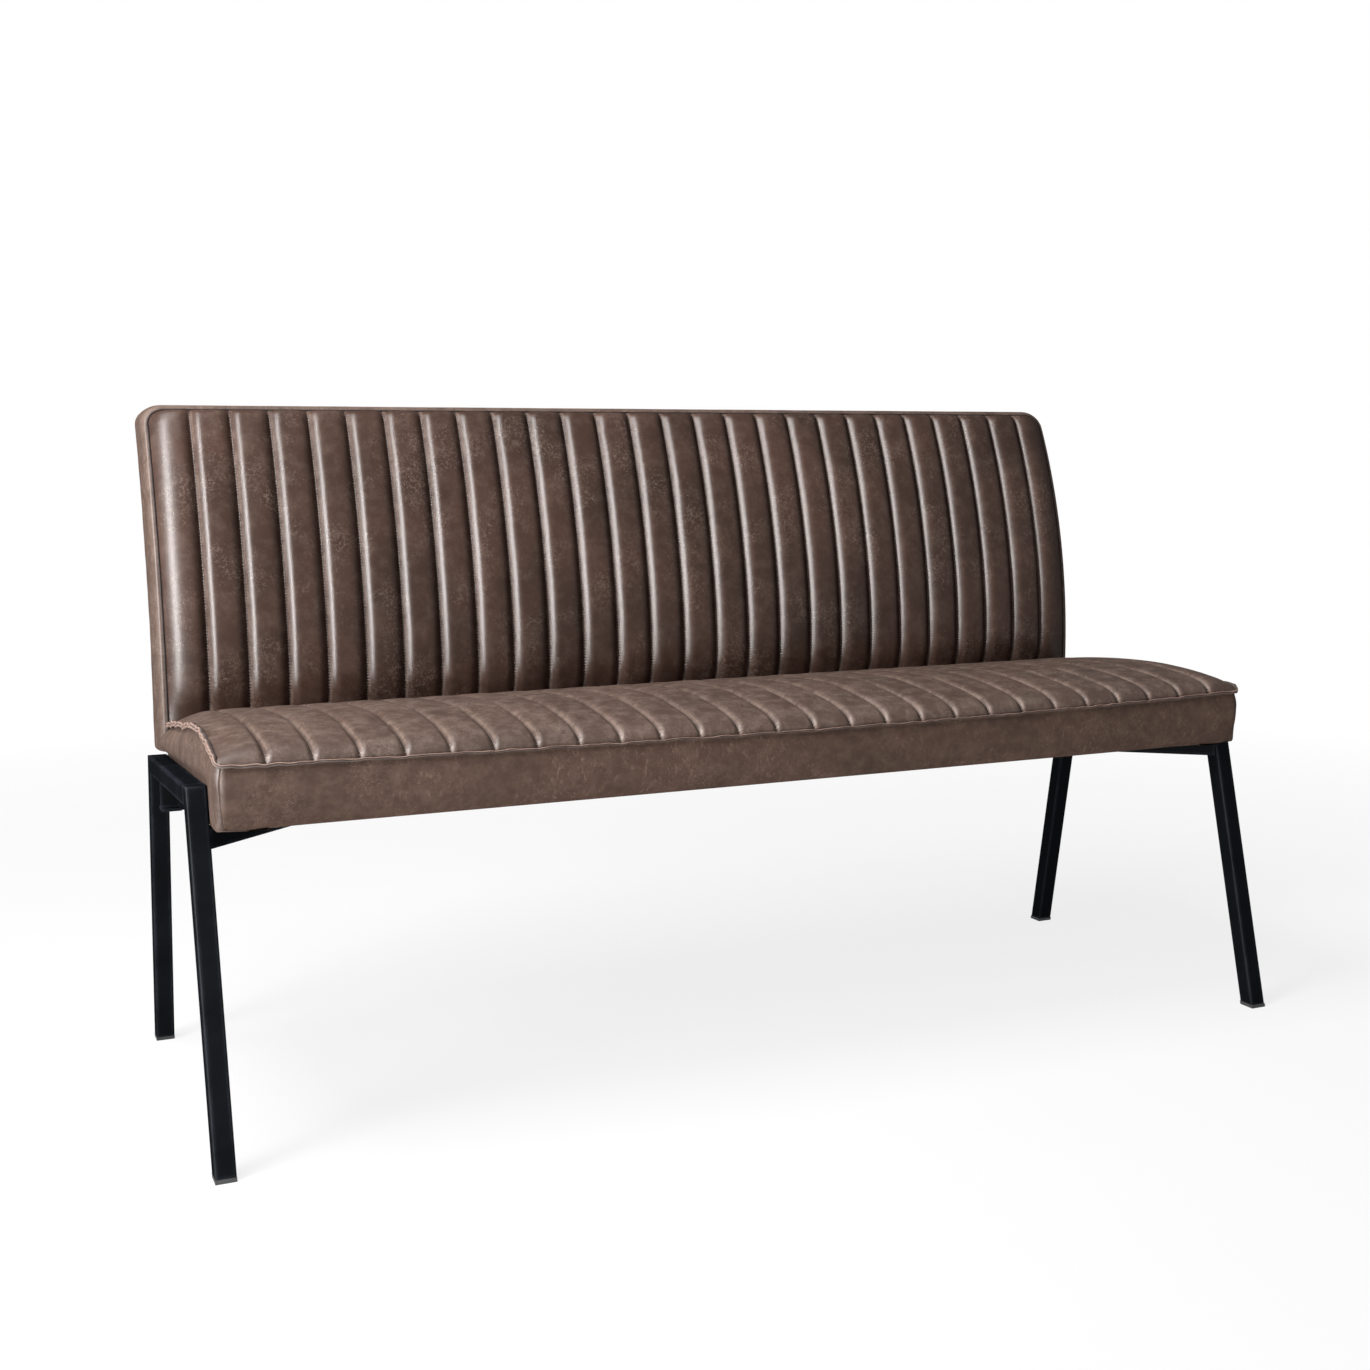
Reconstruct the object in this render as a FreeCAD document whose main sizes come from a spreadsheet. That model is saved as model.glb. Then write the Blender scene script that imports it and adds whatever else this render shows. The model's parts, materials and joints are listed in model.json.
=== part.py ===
import FreeCAD, Part
import Sketcher
import math
import os
import re

V = FreeCAD.Vector
doc = FreeCAD.newDocument("dining_bench")

# Driving sizes in millimetres. Setbacks run rearwards from the front face of the front feet.
SIZES = (
    ("bench_length", 1550.0),
    ("bench_depth", 661.2),
    ("tube", 25.0),
    ("tube_wall", 2.0),
    ("tube_round", 2.5),
    ("rail_front_height", 445.5),
    ("rail_rear_height", 424.4),
    ("front_leg_setback", 113.7),
    ("rear_leg_setback", 492.7),
    ("rear_foot_setback", 567.8),
    ("glide_height", 5.0),
    ("glide_plug", 18.0),
    ("glide_fit", 0.15),
    ("beam_setback", 352.5),
    ("beam_bottom", 371.0),
    ("rear_tube_setback", 474.5),
    ("brace_width", 15.0),
    ("brace_wall", 1.5),
    ("brace_setback", 102.0),
    ("brace_run", 309.0),
    ("hanger_plate", 4.0),
    ("hanger_flange", 30.0),
    ("bracket_plate", 6.0),
    ("bracket_width", 50.0),
    ("bracket_drop", 18.0),
    ("bracket_top", 497.0),
    ("cover", 1.5),
    ("seat_gap", 0.5),
    ("seat_bulge", 3.5),
    ("seat_front_setback", 54.0),
    ("seat_crown_setback", 217.0),
    ("seat_rear_setback", 478.5),
    ("seat_front_height", 476.0),
    ("seat_crown_height", 502.0),
    ("seat_rear_height", 474.0),
    ("seat_split_drop", 12.0),
    ("seat_front_belly", 1.5),
    ("seat_toe_setback", 62.0),
    ("seat_toe_height", 406.0),
    ("seat_heel_setback", 74.0),
    ("turn_under", 30.0),
    ("board", 12.0),
    ("channel_rise", 8.0),
    ("seam_edge", 3.0),
    ("back_front_setback", 487.0),
    ("back_top_setback", 578.0),
    ("back_top_height", 896.0),
    ("back_bottom_height", 428.0),
    ("back_straight_height", 500.0),
    ("back_panel", 10.0),
    ("back_foam", 58.0),
    ("back_bulge", 8.0),
    ("back_crown", 16.0),
    ("bolt", 8.0),
    ("bolt_clearance", 0.5),
    ("bolt_head", 13.0),
    ("bolt_head_height", 5.3),
    ("nut_plate", 30.0),
    ("nut_plate_height", 4.0),
    ("brace_bolt_setback", 230.0),
    ("screw", 4.5),
    ("screw_head", 9.0),
    ("screw_length", 16.0),
    ("screw_low_height", 448.0),
    ("screw_high_height", 480.0),
    ("overrun", 1.0),
)

CHANNELS = 27
BRACKET_SHARE = 0.32
BOLT_SHARE = 0.21
REAR_TURN_SHARE = 1.059
SIDES = ("left", "right")

sheet = doc.addObject("Spreadsheet::Sheet", "sizes")
for row, (name, value) in enumerate(SIZES, start=1):
    sheet.set("A%d" % row, name)
    sheet.set("B%d" % row, str(value))
    sheet.setAlias("B%d" % row, name)
doc.recompute()

# Sketches seen from the side run rearwards along Y and upwards along Z.
SIDE_VIEW = FreeCAD.Placement(V(0, 0, 0), FreeCAD.Rotation(V(1, 1, 1), 120))
PLAN_VIEW = FreeCAD.Placement()
ALIAS = re.compile(r"\b(%s)\b" % "|".join(name for name, value in SIZES))
nodes = []


def size(name):
    return float(sheet.get(name))


def tie(thing, path, rule):
    """Bind one property to a rule written in sheet names."""
    thing.setExpression(path, ALIAS.sub(r"sizes.\1", rule))


def bind(thing, place):
    """Tie a position to the sheet, one rule per axis."""
    for axis, rule in zip("xyz", place):
        if rule:
            tie(thing, "Placement.Base." + axis, rule)
    return thing


def node(thing, name):
    thing.Label = name
    nodes.append(thing)
    return thing


def outline(name, view, corners):
    """Closed sketch of straight edges, each corner held by two bound distances."""
    sketch = doc.addObject("Sketcher::SketchObject", name + "_outline")
    sketch.Placement = view
    points = [V(sheet.evalExpression(a), sheet.evalExpression(b), 0) for a, b in corners]
    count = len(points)
    for index in range(count):
        sketch.addGeometry(Part.LineSegment(points[index], points[(index + 1) % count]), False)
    for index in range(count):
        sketch.addConstraint(Sketcher.Constraint("Coincident", index, 2, (index + 1) % count, 1))
    for index, rules in enumerate(corners):
        for kind, rule, value in zip(("DistanceX", "DistanceY"), rules, points[index]):
            number = sketch.addConstraint(Sketcher.Constraint(kind, -1, 1, index, 1, value))
            tie(sketch, "Constraints[%d]" % number, rule)
    return sketch


def prism(name, view, corners, length, place):
    """Sketch pushed out along its normal."""
    thing = doc.addObject("Part::Extrusion", name + "_prism")
    thing.Base = outline(name, view, corners)
    thing.DirMode = "Normal"
    thing.Solid = True
    tie(thing, "LengthFwd", length)
    return bind(thing, place)


def box(name, length, width, height, place):
    thing = doc.addObject("Part::Box", name + "_box")
    tie(thing, "Length", length)
    tie(thing, "Width", width)
    tie(thing, "Height", height)
    return bind(thing, place)


def rod(name, radius, height, place, along_depth=False):
    thing = doc.addObject("Part::Cylinder", name + "_rod")
    tie(thing, "Radius", radius)
    tie(thing, "Height", height)
    if along_depth:
        thing.Placement = FreeCAD.Placement(V(0, 0, 0), FreeCAD.Rotation(V(1, 0, 0), -90))
    return bind(thing, place)


def cut(name, base, tools):
    thing = doc.addObject("Part::Cut", name + "_cut")
    thing.Base = base
    if len(tools) == 1:
        thing.Tool = tools[0]
    else:
        group = doc.addObject("Part::Compound", name + "_tools")
        group.Links = tools
        thing.Tool = group
    return thing


def fuse(name, pieces):
    thing = doc.addObject("Part::MultiFuse", name + "_fuse")
    thing.Shapes = pieces
    thing.Refine = True
    return thing


def rounded(name, base, keep):
    """Round the edges that a test on their direction and length picks out."""
    doc.recompute()
    radius = size("tube_round")
    picked = [number for number, edge in enumerate(base.Shape.Edges, start=1) if keep(edge)]
    thing = doc.addObject("Part::Fillet", name + "_round")
    thing.Base = base
    thing.Edges = [(number, radius, radius) for number in picked]
    return thing


def runs_lengthwise(edge):
    """True for the long edges of a tube drawn from the side."""
    ends = [vertex.Point for vertex in edge.Vertexes]
    run = ends[-1] - ends[0]
    return abs(run.x) < size("tube_wall") and run.Length > size("tube") + size("tube_wall") * 2


def from_front(rule):
    return "(%s) - bench_depth / 2" % rule


def soft(name, shape):
    """Upholstered form drawn straight from sheet sizes."""
    thing = doc.addObject("Part::Feature", name)
    thing.Shape = shape
    thing.Placement = FreeCAD.Placement(V(0, -size("bench_depth") / 2, 0), FreeCAD.Rotation())
    return node(thing, name)


# Leg frames: two raked legs and a sloping side rail at each end
RAKE_FRONT = "(front_leg_setback / rail_front_height)"
RAKE_REAR = "((rear_foot_setback - rear_leg_setback) / rail_rear_height)"
SLOPE = "((rail_front_height - rail_rear_height) / (rear_leg_setback - front_leg_setback))"
FRONT_STEP = "sqrt(1 + %s ^ 2)" % RAKE_FRONT
REAR_STEP = "sqrt(1 + %s ^ 2)" % RAKE_REAR
RAIL_STEP = "sqrt(1 + %s ^ 2)" % SLOPE


def front_line(inset, height):
    """Setback of a line running up the front leg, inset from its front face."""
    return "%s * (%s) + (%s) * %s" % (RAKE_FRONT, height, inset, FRONT_STEP)


def rear_line(inset, height):
    """Setback of a line running up the rear leg, inset from its rear face."""
    return "rear_leg_setback + %s * (rail_rear_height - (%s)) - (%s) * %s" % (
        RAKE_REAR, height, inset, REAR_STEP)


def front_meet(inset, drop):
    """Corner where a line of the front leg meets the rail plane lowered by a drop."""
    height = "(rail_front_height - ((%s) * %s + %s * (%s) * %s) / (1 + %s * %s))" % (
        drop, RAIL_STEP, SLOPE, inset, FRONT_STEP, SLOPE, RAKE_FRONT)
    return from_front(front_line(inset, height)), height


def rear_meet(inset, drop):
    """Corner where a line of the rear leg meets the rail plane lowered by a drop."""
    height = "(rail_rear_height - ((%s) * %s - %s * (%s) * %s) / (1 - %s * %s))" % (
        drop, RAIL_STEP, SLOPE, inset, REAR_STEP, SLOPE, RAKE_REAR)
    return from_front(rear_line(inset, height)), height


def level(line, inset, height):
    return from_front(line(inset, height)), height


INNER = "tube - tube_wall"
OPEN_END = "glide_height - overrun"
LEG_LINES = {"front": (front_line, front_meet), "rear": (rear_line, rear_meet)}
END_X = {"left": "-bench_length / 2", "right": "bench_length / 2 - tube"}

for side in SIDES:
    near = END_X[side]
    hollow_x = near + " + tube_wall"
    for end, (line, meet) in LEG_LINES.items():
        name = "%s_%s_leg" % (side, end)
        solid = prism(name, SIDE_VIEW, [
            level(line, "0", "glide_height"), level(line, "tube", "glide_height"),
            meet("tube", "0"), meet("0", "0")], "tube", (near, None, None))
        hollow = prism(name + "_bore", SIDE_VIEW, [
            level(line, "tube_wall", OPEN_END), level(line, INNER, OPEN_END),
            meet(INNER, "tube_wall"), meet("tube_wall", "tube_wall")],
            "tube - 2 * tube_wall", (hollow_x, None, None))
        node(cut(name, rounded(name, solid, runs_lengthwise), [hollow]), name)

        glide = "%s_%s_glide" % (side, end)
        foot = prism(glide, SIDE_VIEW, [
            level(line, "0", "0"), level(line, "tube", "0"),
            level(line, "tube", "glide_height"), level(line, "0", "glide_height")],
            "tube", (near, None, None))
        snug = "tube_wall + glide_fit"
        snug_far = "tube - tube_wall - glide_fit"
        top = "glide_height + glide_plug"
        plug = prism(glide + "_plug", SIDE_VIEW, [
            level(line, snug, "glide_height"), level(line, snug_far, "glide_height"),
            level(line, snug_far, top), level(line, snug, top)],
            "tube - 2 * (tube_wall + glide_fit)", (near + " + tube_wall + glide_fit", None, None))
        node(fuse(glide, [foot, plug]), glide)

    name = side + "_side_rail"
    solid = prism(name, SIDE_VIEW, [
        front_meet("tube", "tube"), rear_meet("tube", "tube"),
        rear_meet("tube", "0"), front_meet("tube", "0")], "tube", (near, None, None))
    hollow = prism(name + "_bore", SIDE_VIEW, [
        front_meet("tube - overrun", INNER), rear_meet("tube - overrun", INNER),
        rear_meet("tube - overrun", "tube_wall"), front_meet("tube - overrun", "tube_wall")],
        "tube - 2 * tube_wall", (hollow_x, None, None))
    node(cut(name, rounded(name, solid, runs_lengthwise), [hollow]), name)

# Carrying frame under the seat: middle beam, rear tube, corner braces and rail hangers
SPAN = "bench_length - 2 * tube"
SPAN_X = "-(bench_length / 2 - tube)"
BEAM_TOP = "beam_bottom + tube"
BEAM_MIDDLE = "beam_setback + tube / 2"
BRACE_SLOPE = "((beam_setback - brace_setback) / brace_run)"
BRACE_STEP = "(brace_width * sqrt(1 + %s ^ 2))" % BRACE_SLOPE
BRACE_BOLT_X = "(bench_length / 2 - tube - (brace_bolt_setback - brace_setback - %s / 2) / %s)" % (
    BRACE_STEP, BRACE_SLOPE)
BEAM_BOLTS = ["%s%s * bench_length" % (sign, BOLT_SHARE) for sign in ("-", "")]
HOLE = "(bolt + bolt_clearance) / 2"


def bolt_hole(name, across, setback, bottom, height, radius=HOLE):
    return rod(name, radius, height, (across, from_front(setback), bottom))


def cross_tube(name, setback, holes):
    solid = box(name, SPAN, "tube", "tube", (SPAN_X, from_front(setback), "beam_bottom"))
    hollow = box(name + "_bore", SPAN + " + 2 * overrun", "tube - 2 * tube_wall", "tube - 2 * tube_wall",
                 (SPAN_X + " - overrun", from_front(setback + " + tube_wall"), "beam_bottom + tube_wall"))
    return cut(name, rounded(name, solid, runs_across), [hollow] + holes)


def runs_across(edge):
    """True for the edges that run along the length of the bench."""
    ends = [vertex.Point for vertex in edge.Vertexes]
    return abs(ends[-1].x - ends[0].x) > size("tube") * 2


holes = [bolt_hole("beam_hole_%d" % number, across, BEAM_MIDDLE, "beam_bottom - overrun",
                   "tube + 2 * overrun") for number, across in enumerate(BEAM_BOLTS)]
node(cross_tube("middle_beam", "beam_setback", holes), "middle_beam")
node(cross_tube("rear_tube", "rear_tube_setback", []), "rear_tube")


def brace_corners(sign, inset, start, finish):
    """Plan of a brace between two setback-parallel ends, inset from its two long faces."""
    near_x = "%s(bench_length / 2 - tube %s)" % (sign, start)
    step = BRACE_STEP + " * (%s) / brace_width" % inset
    front = "brace_setback + %s" % step
    rear = "brace_setback + %s - %s" % (BRACE_STEP, step)
    lead = "(%s - (bench_length / 2 - tube)) * %s" % ("bench_length / 2 - tube " + start, BRACE_SLOPE)
    stop = "beam_setback %s" % finish

    def reach(setback):
        return "%s(bench_length / 2 - tube - (%s - (%s)) / %s)" % (sign, stop, setback, BRACE_SLOPE)

    return [(near_x, from_front("%s - (%s)" % (front, lead))),
            (near_x, from_front("%s - (%s)" % (rear, lead))),
            (reach(rear), from_front(stop)), (reach(front), from_front(stop))]


for side, sign in zip(SIDES, ("-", "")):
    name = side + "_brace"
    solid = prism(name, PLAN_VIEW, brace_corners(sign, "0", "", ""), "tube", (None, None, "beam_bottom"))
    hollow = prism(name + "_bore", PLAN_VIEW, brace_corners(sign, "brace_wall", "+ overrun", "+ overrun"),
                   "tube - 2 * brace_wall", (None, None, "beam_bottom + brace_wall"))
    hole = bolt_hole(name + "_hole", sign + BRACE_BOLT_X, "brace_bolt_setback", "beam_bottom - overrun",
                     "tube + 2 * overrun")
    node(cut(name, solid, [hollow, hole]), name)

    hanger = side + "_rail_hanger"
    flange_front = "beam_setback + (tube - hanger_flange) / 2"
    web_front = "beam_setback + (tube - hanger_plate) / 2"
    web_rear = "beam_setback + (tube + hanger_plate) / 2"
    flange_top = "beam_bottom + hanger_plate"

    def rail_under(setback):
        return "rail_front_height - %s * (%s - front_leg_setback) - tube * %s" % (SLOPE, setback, RAIL_STEP)

    node(prism(hanger, SIDE_VIEW, [
        (from_front(flange_front), "beam_bottom"),
        (from_front(flange_front + " + hanger_flange"), "beam_bottom"),
        (from_front(flange_front + " + hanger_flange"), flange_top),
        (from_front(web_rear), flange_top),
        (from_front(web_rear), rail_under("(%s)" % web_rear)),
        (from_front(web_front), rail_under("(%s)" % web_front)),
        (from_front(web_front), flange_top),
        (from_front(flange_front), flange_top)], "tube", (END_X[side], None, None)), hanger)

# Angle brackets from the rear tube up into the back
BOARD_FRONT = "back_front_setback + back_panel + back_foam"
BRACKET_BOTTOM = "beam_bottom + tube - bracket_drop"
BRACKET_SPOTS = {side: "%s%s * bench_length" % (sign, BRACKET_SHARE)
                 for side, sign in zip(SIDES, ("-", ""))}
SCREW_ROWS = ("screw_low_height", "screw_high_height")
SCREW_FRONT = BOARD_FRONT + " - bracket_plate"


def cone_point(name, across, height):
    """Countersunk head that narrows rearwards to the shank."""
    thing = doc.addObject("Part::Cone", name + "_cone")
    tie(thing, "Radius1", "screw_head / 2")
    tie(thing, "Radius2", "screw / 2")
    tie(thing, "Height", "(screw_head - screw) / 2")
    thing.Placement = FreeCAD.Placement(V(0, 0, 0), FreeCAD.Rotation(V(1, 0, 0), -90))
    return bind(thing, (across, from_front(SCREW_FRONT), height))


def screw_shape(name, across, height):
    spot = (across, from_front(SCREW_FRONT), height)
    shank = rod(name, "screw / 2", "screw_length", spot, along_depth=True)
    return fuse(name, [cone_point(name, across, height), shank])


screws = []
slots = []
board_holes = []
bottom_slots = []
for spot, across in BRACKET_SPOTS.items():
    name = "back_bracket_" + spot
    left_x = across + " - bracket_width / 2"
    rear_face = "rear_tube_setback + tube"
    angle = prism(name, SIDE_VIEW, [
        (from_front(rear_face), BRACKET_BOTTOM),
        (from_front(BOARD_FRONT), BRACKET_BOTTOM),
        (from_front(BOARD_FRONT), "bracket_top"),
        (from_front(SCREW_FRONT), "bracket_top"),
        (from_front(SCREW_FRONT), BRACKET_BOTTOM + " + bracket_plate"),
        (from_front(rear_face), BRACKET_BOTTOM + " + bracket_plate")],
        "bracket_width", (left_x, None, None))
    seats = []
    for row in SCREW_ROWS:
        label = "%s_%s" % (name, row)
        screws.append(screw_shape(label, across, row))
        seats.append(screw_shape(label + "_seat", across, row))
        board_holes.append(screw_shape(label + "_hole", across, row))
    node(cut(name, angle, seats), name)
    for group, label in ((slots, "_slot"), (bottom_slots, "_gap")):
        group.append(box(name + label, "bracket_width", "bracket_plate", "bracket_top - beam_bottom",
                         (left_x, from_front(SCREW_FRONT), "beam_bottom")))
group = doc.addObject("Part::Compound", "back_screw_group")
group.Links = screws
node(group, "back_screws")

# Seat base: plywood board with captive nut plates, bolted down to the beam and braces
SEAT_HALF = "(bench_length / 2 - tube - seat_gap - seat_bulge)"
CORE_HALF = "(%s - cover)" % SEAT_HALF
BOARD_BOTTOM = "beam_bottom + tube + cover"
BOARD_TOP = BOARD_BOTTOM + " + board"
NUT_BOTTOM = BOARD_TOP + " - nut_plate_height"
DUST_FRONT = "seat_heel_setback + turn_under"
bolt_spots = [(across, BEAM_MIDDLE) for across in BEAM_BOLTS]
bolt_spots += [(sign + BRACE_BOLT_X, "brace_bolt_setback") for sign in ("-", "")]


def nut_block(name, across, setback):
    """Square plate let into the top of the board over a bolt."""
    return box(name, "nut_plate", "nut_plate", "nut_plate_height",
               (across + " - nut_plate / 2", from_front(setback + " - nut_plate / 2"), NUT_BOTTOM))


board_tools = []
dust_tools = []
bolts = []
nuts = []
for number, (across, setback) in enumerate(bolt_spots):
    board_tools.append(bolt_hole("board_hole_%d" % number, across, setback, BOARD_BOTTOM + " - overrun",
                                 "board + overrun - nut_plate_height"))
    board_tools.append(nut_block("board_recess_%d" % number, across, setback))
    dust_tools.append(bolt_hole("dust_hole_%d" % number, across, setback, "beam_bottom + tube - overrun",
                                "cover + 2 * overrun"))
    shank = bolt_hole("bolt_%d_shank" % number, across, setback, "beam_bottom",
                      "tube + cover + board", "bolt / 2")
    head = doc.addObject("Part::Prism", "bolt_%d_head" % number)
    head.Polygon = 6
    tie(head, "Circumradius", "bolt_head / sqrt(3)")
    tie(head, "Height", "bolt_head_height")
    bind(head, (across, from_front(setback), "beam_bottom - bolt_head_height"))
    bolts.append(fuse("bolt_%d" % number, [head, shank]))
    thread = bolt_hole("nut_%d_thread" % number, across, setback, NUT_BOTTOM + " - overrun",
                       "nut_plate_height + 2 * overrun", "bolt / 2")
    nuts.append(cut("nut_%d" % number, nut_block("nut_%d" % number, across, setback), [thread]))

for name, members in (("seat_bolts", bolts), ("seat_nuts", nuts)):
    group = doc.addObject("Part::Compound", name + "_group")
    group.Links = members
    node(group, name)

plank = box("seat_board", "2 * " + CORE_HALF, "seat_rear_setback - cover - seat_heel_setback", "board",
            ("-" + CORE_HALF, from_front("seat_heel_setback"), BOARD_BOTTOM))
node(cut("seat_board", plank, board_tools), "seat_board")
dust = box("seat_dust_cover", "2 * " + CORE_HALF, "seat_rear_setback - (%s)" % DUST_FRONT, "cover",
           ("-" + CORE_HALF, from_front(DUST_FRONT), "beam_bottom + tube"))
node(cut("seat_dust_cover", dust, dust_tools), "seat_dust_cover")
node(box("seat_rear_boxing", "2 * " + CORE_HALF, "cover", "seat_rear_height - (%s)" % BOARD_BOTTOM,
         ("-" + CORE_HALF, from_front("seat_rear_setback - cover"), BOARD_BOTTOM)), "seat_rear_boxing")
doc.recompute()

# Upholstered forms
cover = size("cover")
seat_half = size("bench_length") / 2 - size("tube") - size("seat_gap") - size("seat_bulge")
core_half = seat_half - cover
under_seat = size("beam_bottom") + size("tube")
board_bottom = under_seat + cover
board_top = board_bottom + size("board")
edge = size("seam_edge")


def wire(edges):
    return Part.Wire(Part.__sortEdges__(edges))


def line(first, last):
    return Part.makeLine(first, last)


def bow(first, middle, last):
    return Part.Arc(first, middle, last).toShape()


def extruded(edges, half):
    """Side outline drawn at one end and pushed along the length of the bench."""
    face = Part.Face(wire(edges))
    return face.extrude(V(2 * half, 0, 0))


def loft(sections):
    """Solid through closed sections, straight from each to the next."""
    return Part.makeLoft(sections, True, True)


def scallops(point, outward, rise, half):
    """One arc per channel from seam to seam, bowed outwards."""
    pitch = 2 * half / CHANNELS
    edges = []
    for number in range(CHANNELS):
        seam = point + V(number * pitch - half, 0, 0)
        crest = seam + V(pitch / 2, 0, 0) + outward * rise
        edges.append(bow(seam, crest, seam + V(pitch, 0, 0)))
    return edges


def channel_section(point, outward, rise, base, half):
    """Closed section of a channelled panel: scalloped face over a straight base."""
    reach = V(half, 0, 0)
    edges = scallops(point, outward, rise, half)
    edges += [line(point + reach, base + reach), line(base + reach, base - reach),
              line(base - reach, point - reach)]
    return Part.Wire(edges)


# Seat stations: share of the run to the crown or from it, and share of the height change
FRONT_SHARES = ((0.0, 0.0), (0.05, 0.3), (0.18, 0.6), (0.48, 0.89), (1.0, 1.0))
REAR_SHARES = ((0.55, 0.37), (1.0, 1.0))
RISE_SHARES = (0.3, 0.7, 1.0, 1.0, 1.0, 1.0, 0.9)
TOE_SHARES = (0.42, 0.14, 0.0, 0.0, 0.0, 0.0, 0.0)
front_run = size("seat_crown_setback") - size("seat_front_setback")
rear_run = size("seat_rear_setback") - size("seat_crown_setback")
front_climb = size("seat_crown_height") - size("seat_front_height")
rear_fall = size("seat_crown_height") - size("seat_rear_height")
stations = [(size("seat_front_setback") + run_share * front_run,
             size("seat_front_height") + climb_share * front_climb)
            for run_share, climb_share in FRONT_SHARES]
stations += [(size("seat_crown_setback") + run_share * rear_run,
              size("seat_crown_height") - fall_share * rear_fall)
             for run_share, fall_share in REAR_SHARES]

split = size("seat_front_height") - size("seat_split_drop")
panel_stations = stations[:-1] + [(stations[-1][0] - cover, stations[-1][1])]
soft("seat_top_panel", loft([
    channel_section(V(0, setback, height), V(0, 0, 1), size("channel_rise") * rise_share,
                    V(0, setback, split), core_half)
    for (setback, height), rise_share in zip(panel_stations, RISE_SHARES)]))

# The front of the core bellies out, then rolls under to the board
front = size("seat_front_setback")
toe = V(-core_half, size("seat_toe_setback"), size("seat_toe_height"))
heel = V(-core_half, size("seat_heel_setback"), board_bottom)
brow = V(-core_half, front, split)
belly = V(-core_half, front - size("seat_front_belly"), (split + toe.z) / 2)
roll = V(-core_half, (toe.y + heel.y) / 2 - cover, (toe.z + heel.z) / 2 - cover)
rear = size("seat_rear_setback") - cover
deck = V(-core_half, heel.y, board_top)
soft("seat_foam", extruded([
    bow(brow, belly, toe), bow(toe, roll, heel), line(heel, deck),
    line(deck, V(-core_half, rear, board_top)),
    line(V(-core_half, rear, board_top), V(-core_half, rear, split)),
    line(V(-core_half, rear, split), brow)], core_half))

shift = V(core_half - seat_half, 0, 0)
lip = V(-core_half, front, size("seat_front_height"))
ahead = V(0, -cover, 0)
below = V(0, 0, -cover)
toe_out = toe + (ahead + below) * math.sqrt(1 / 2)
tail = heel + V(0, size("turn_under"), 0)
front_edges = [
    line(lip, brow), bow(brow, belly, toe), bow(toe, roll, heel), line(heel, tail), line(tail, tail + below),
    line(tail + below, heel + below), bow(heel + below, roll + (ahead + below) * math.sqrt(1 / 2), toe_out),
    bow(toe_out, belly + ahead, brow + ahead), line(brow + ahead, lip + ahead), line(lip + ahead, lip)]
for piece in front_edges:
    piece.translate(shift)
soft("seat_front_boxing", extruded(front_edges, seat_half))

for side, sign in zip(SIDES, (-1, 1)):
    sections = []
    drop = size("seat_front_height") - under_seat
    for (setback, height), toe_share in zip(stations, TOE_SHARES):
        low = under_seat + toe_share * drop
        inner_low = V(sign * core_half, setback, low)
        inner_high = V(sign * core_half, setback, height)
        outer_low = V(sign * seat_half, setback, low)
        outer_high = V(sign * seat_half, setback, height)
        below_seam = outer_high - V(0, 0, edge)
        swell = V(sign * (seat_half + size("seat_bulge")), setback, (low + below_seam.z) / 2)
        sections.append(Part.Wire([line(inner_low, inner_high), line(inner_high, outer_high),
                                   line(outer_high, below_seam), bow(below_seam, swell, outer_low),
                                   line(outer_low, inner_low)]))
    soft("seat_%s_boxing" % side, loft(sections))


def strip(corners):
    return Part.makePolygon(corners + [corners[0]])


# Raw seam edge standing out along the front and both ends of the seat
seam_solids = [Part.makeBox(2 * (seat_half + edge), edge, edge,
                            V(-seat_half - edge, front - cover - edge, size("seat_front_height") - edge))]
for sign in (-1, 1):
    sections = []
    seam_line = [(front - cover, size("seat_front_height"))] + stations[1:]
    for setback, height in seam_line:
        inside = V(sign * seat_half, setback, height)
        outside = V(sign * (seat_half + edge), setback, height)
        sections.append(strip([inside, outside, outside - V(0, 0, edge), inside - V(0, 0, edge)]))
    seam_solids.append(loft(sections))
soft("seat_seam_edge", seam_solids[0].multiFuse(seam_solids[1:]).Solids[0])

# Back profile: upright at the seat, then an arc leaning rearwards to the top seam
back_front = size("back_front_setback")
straight = size("back_straight_height")
lean = size("back_top_setback") - back_front
climb = size("back_top_height") - straight
radius = (lean ** 2 + climb ** 2) / (2 * lean)
centre = V(0, back_front + radius, straight)
top_angle = math.asin(climb / radius)
foot = size("back_bottom_height") + cover
back_half = seat_half
back_core = back_half - cover
panel_in = size("back_panel")
foam_in = panel_in + size("back_foam")
board_in = foam_in + size("board")
rear_in = board_in + cover
rear_angle = top_angle * REAR_TURN_SHARE


def on_back(inset, angle):
    """Point of the curved part, inset from the front seam line."""
    reach = radius - inset
    return centre + V(0, -reach * math.cos(angle), reach * math.sin(angle))


BACK_SHARES = (-1.0, 0.0, 0.3, 0.6, 0.86, 0.96, 1.0)
BACK_RISE_SHARES = (1.0, 1.0, 1.0, 1.0, 1.0, 0.85, 0.25)


def layer(near, far, near_angle, far_angle, half, faceted=False):
    """Slab between two insets from the front seam line, its near face in the panel's facets or curved."""
    start = V(-half, 0, 0)
    low_near = start + V(0, back_front + near, foot)
    low_far = start + V(0, back_front + far, foot)
    bend_near = start + on_back(near, 0)
    bend_far = start + on_back(far, 0)
    high_near = start + on_back(near, near_angle)
    high_far = start + on_back(far, far_angle)
    rising = [bow(bend_near, start + on_back(near, near_angle / 2), high_near)]
    if faceted:
        steps = [start + on_back(near, share * near_angle) for share in BACK_SHARES if share >= 0]
        rising = [line(first, last) for first, last in zip(steps, steps[1:])]
    return extruded([line(low_near, bend_near)] + rising + [
        line(high_near, high_far), bow(high_far, start + on_back(far, far_angle / 2), bend_far),
        line(bend_far, low_far), line(low_far, low_near)], half)


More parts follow.
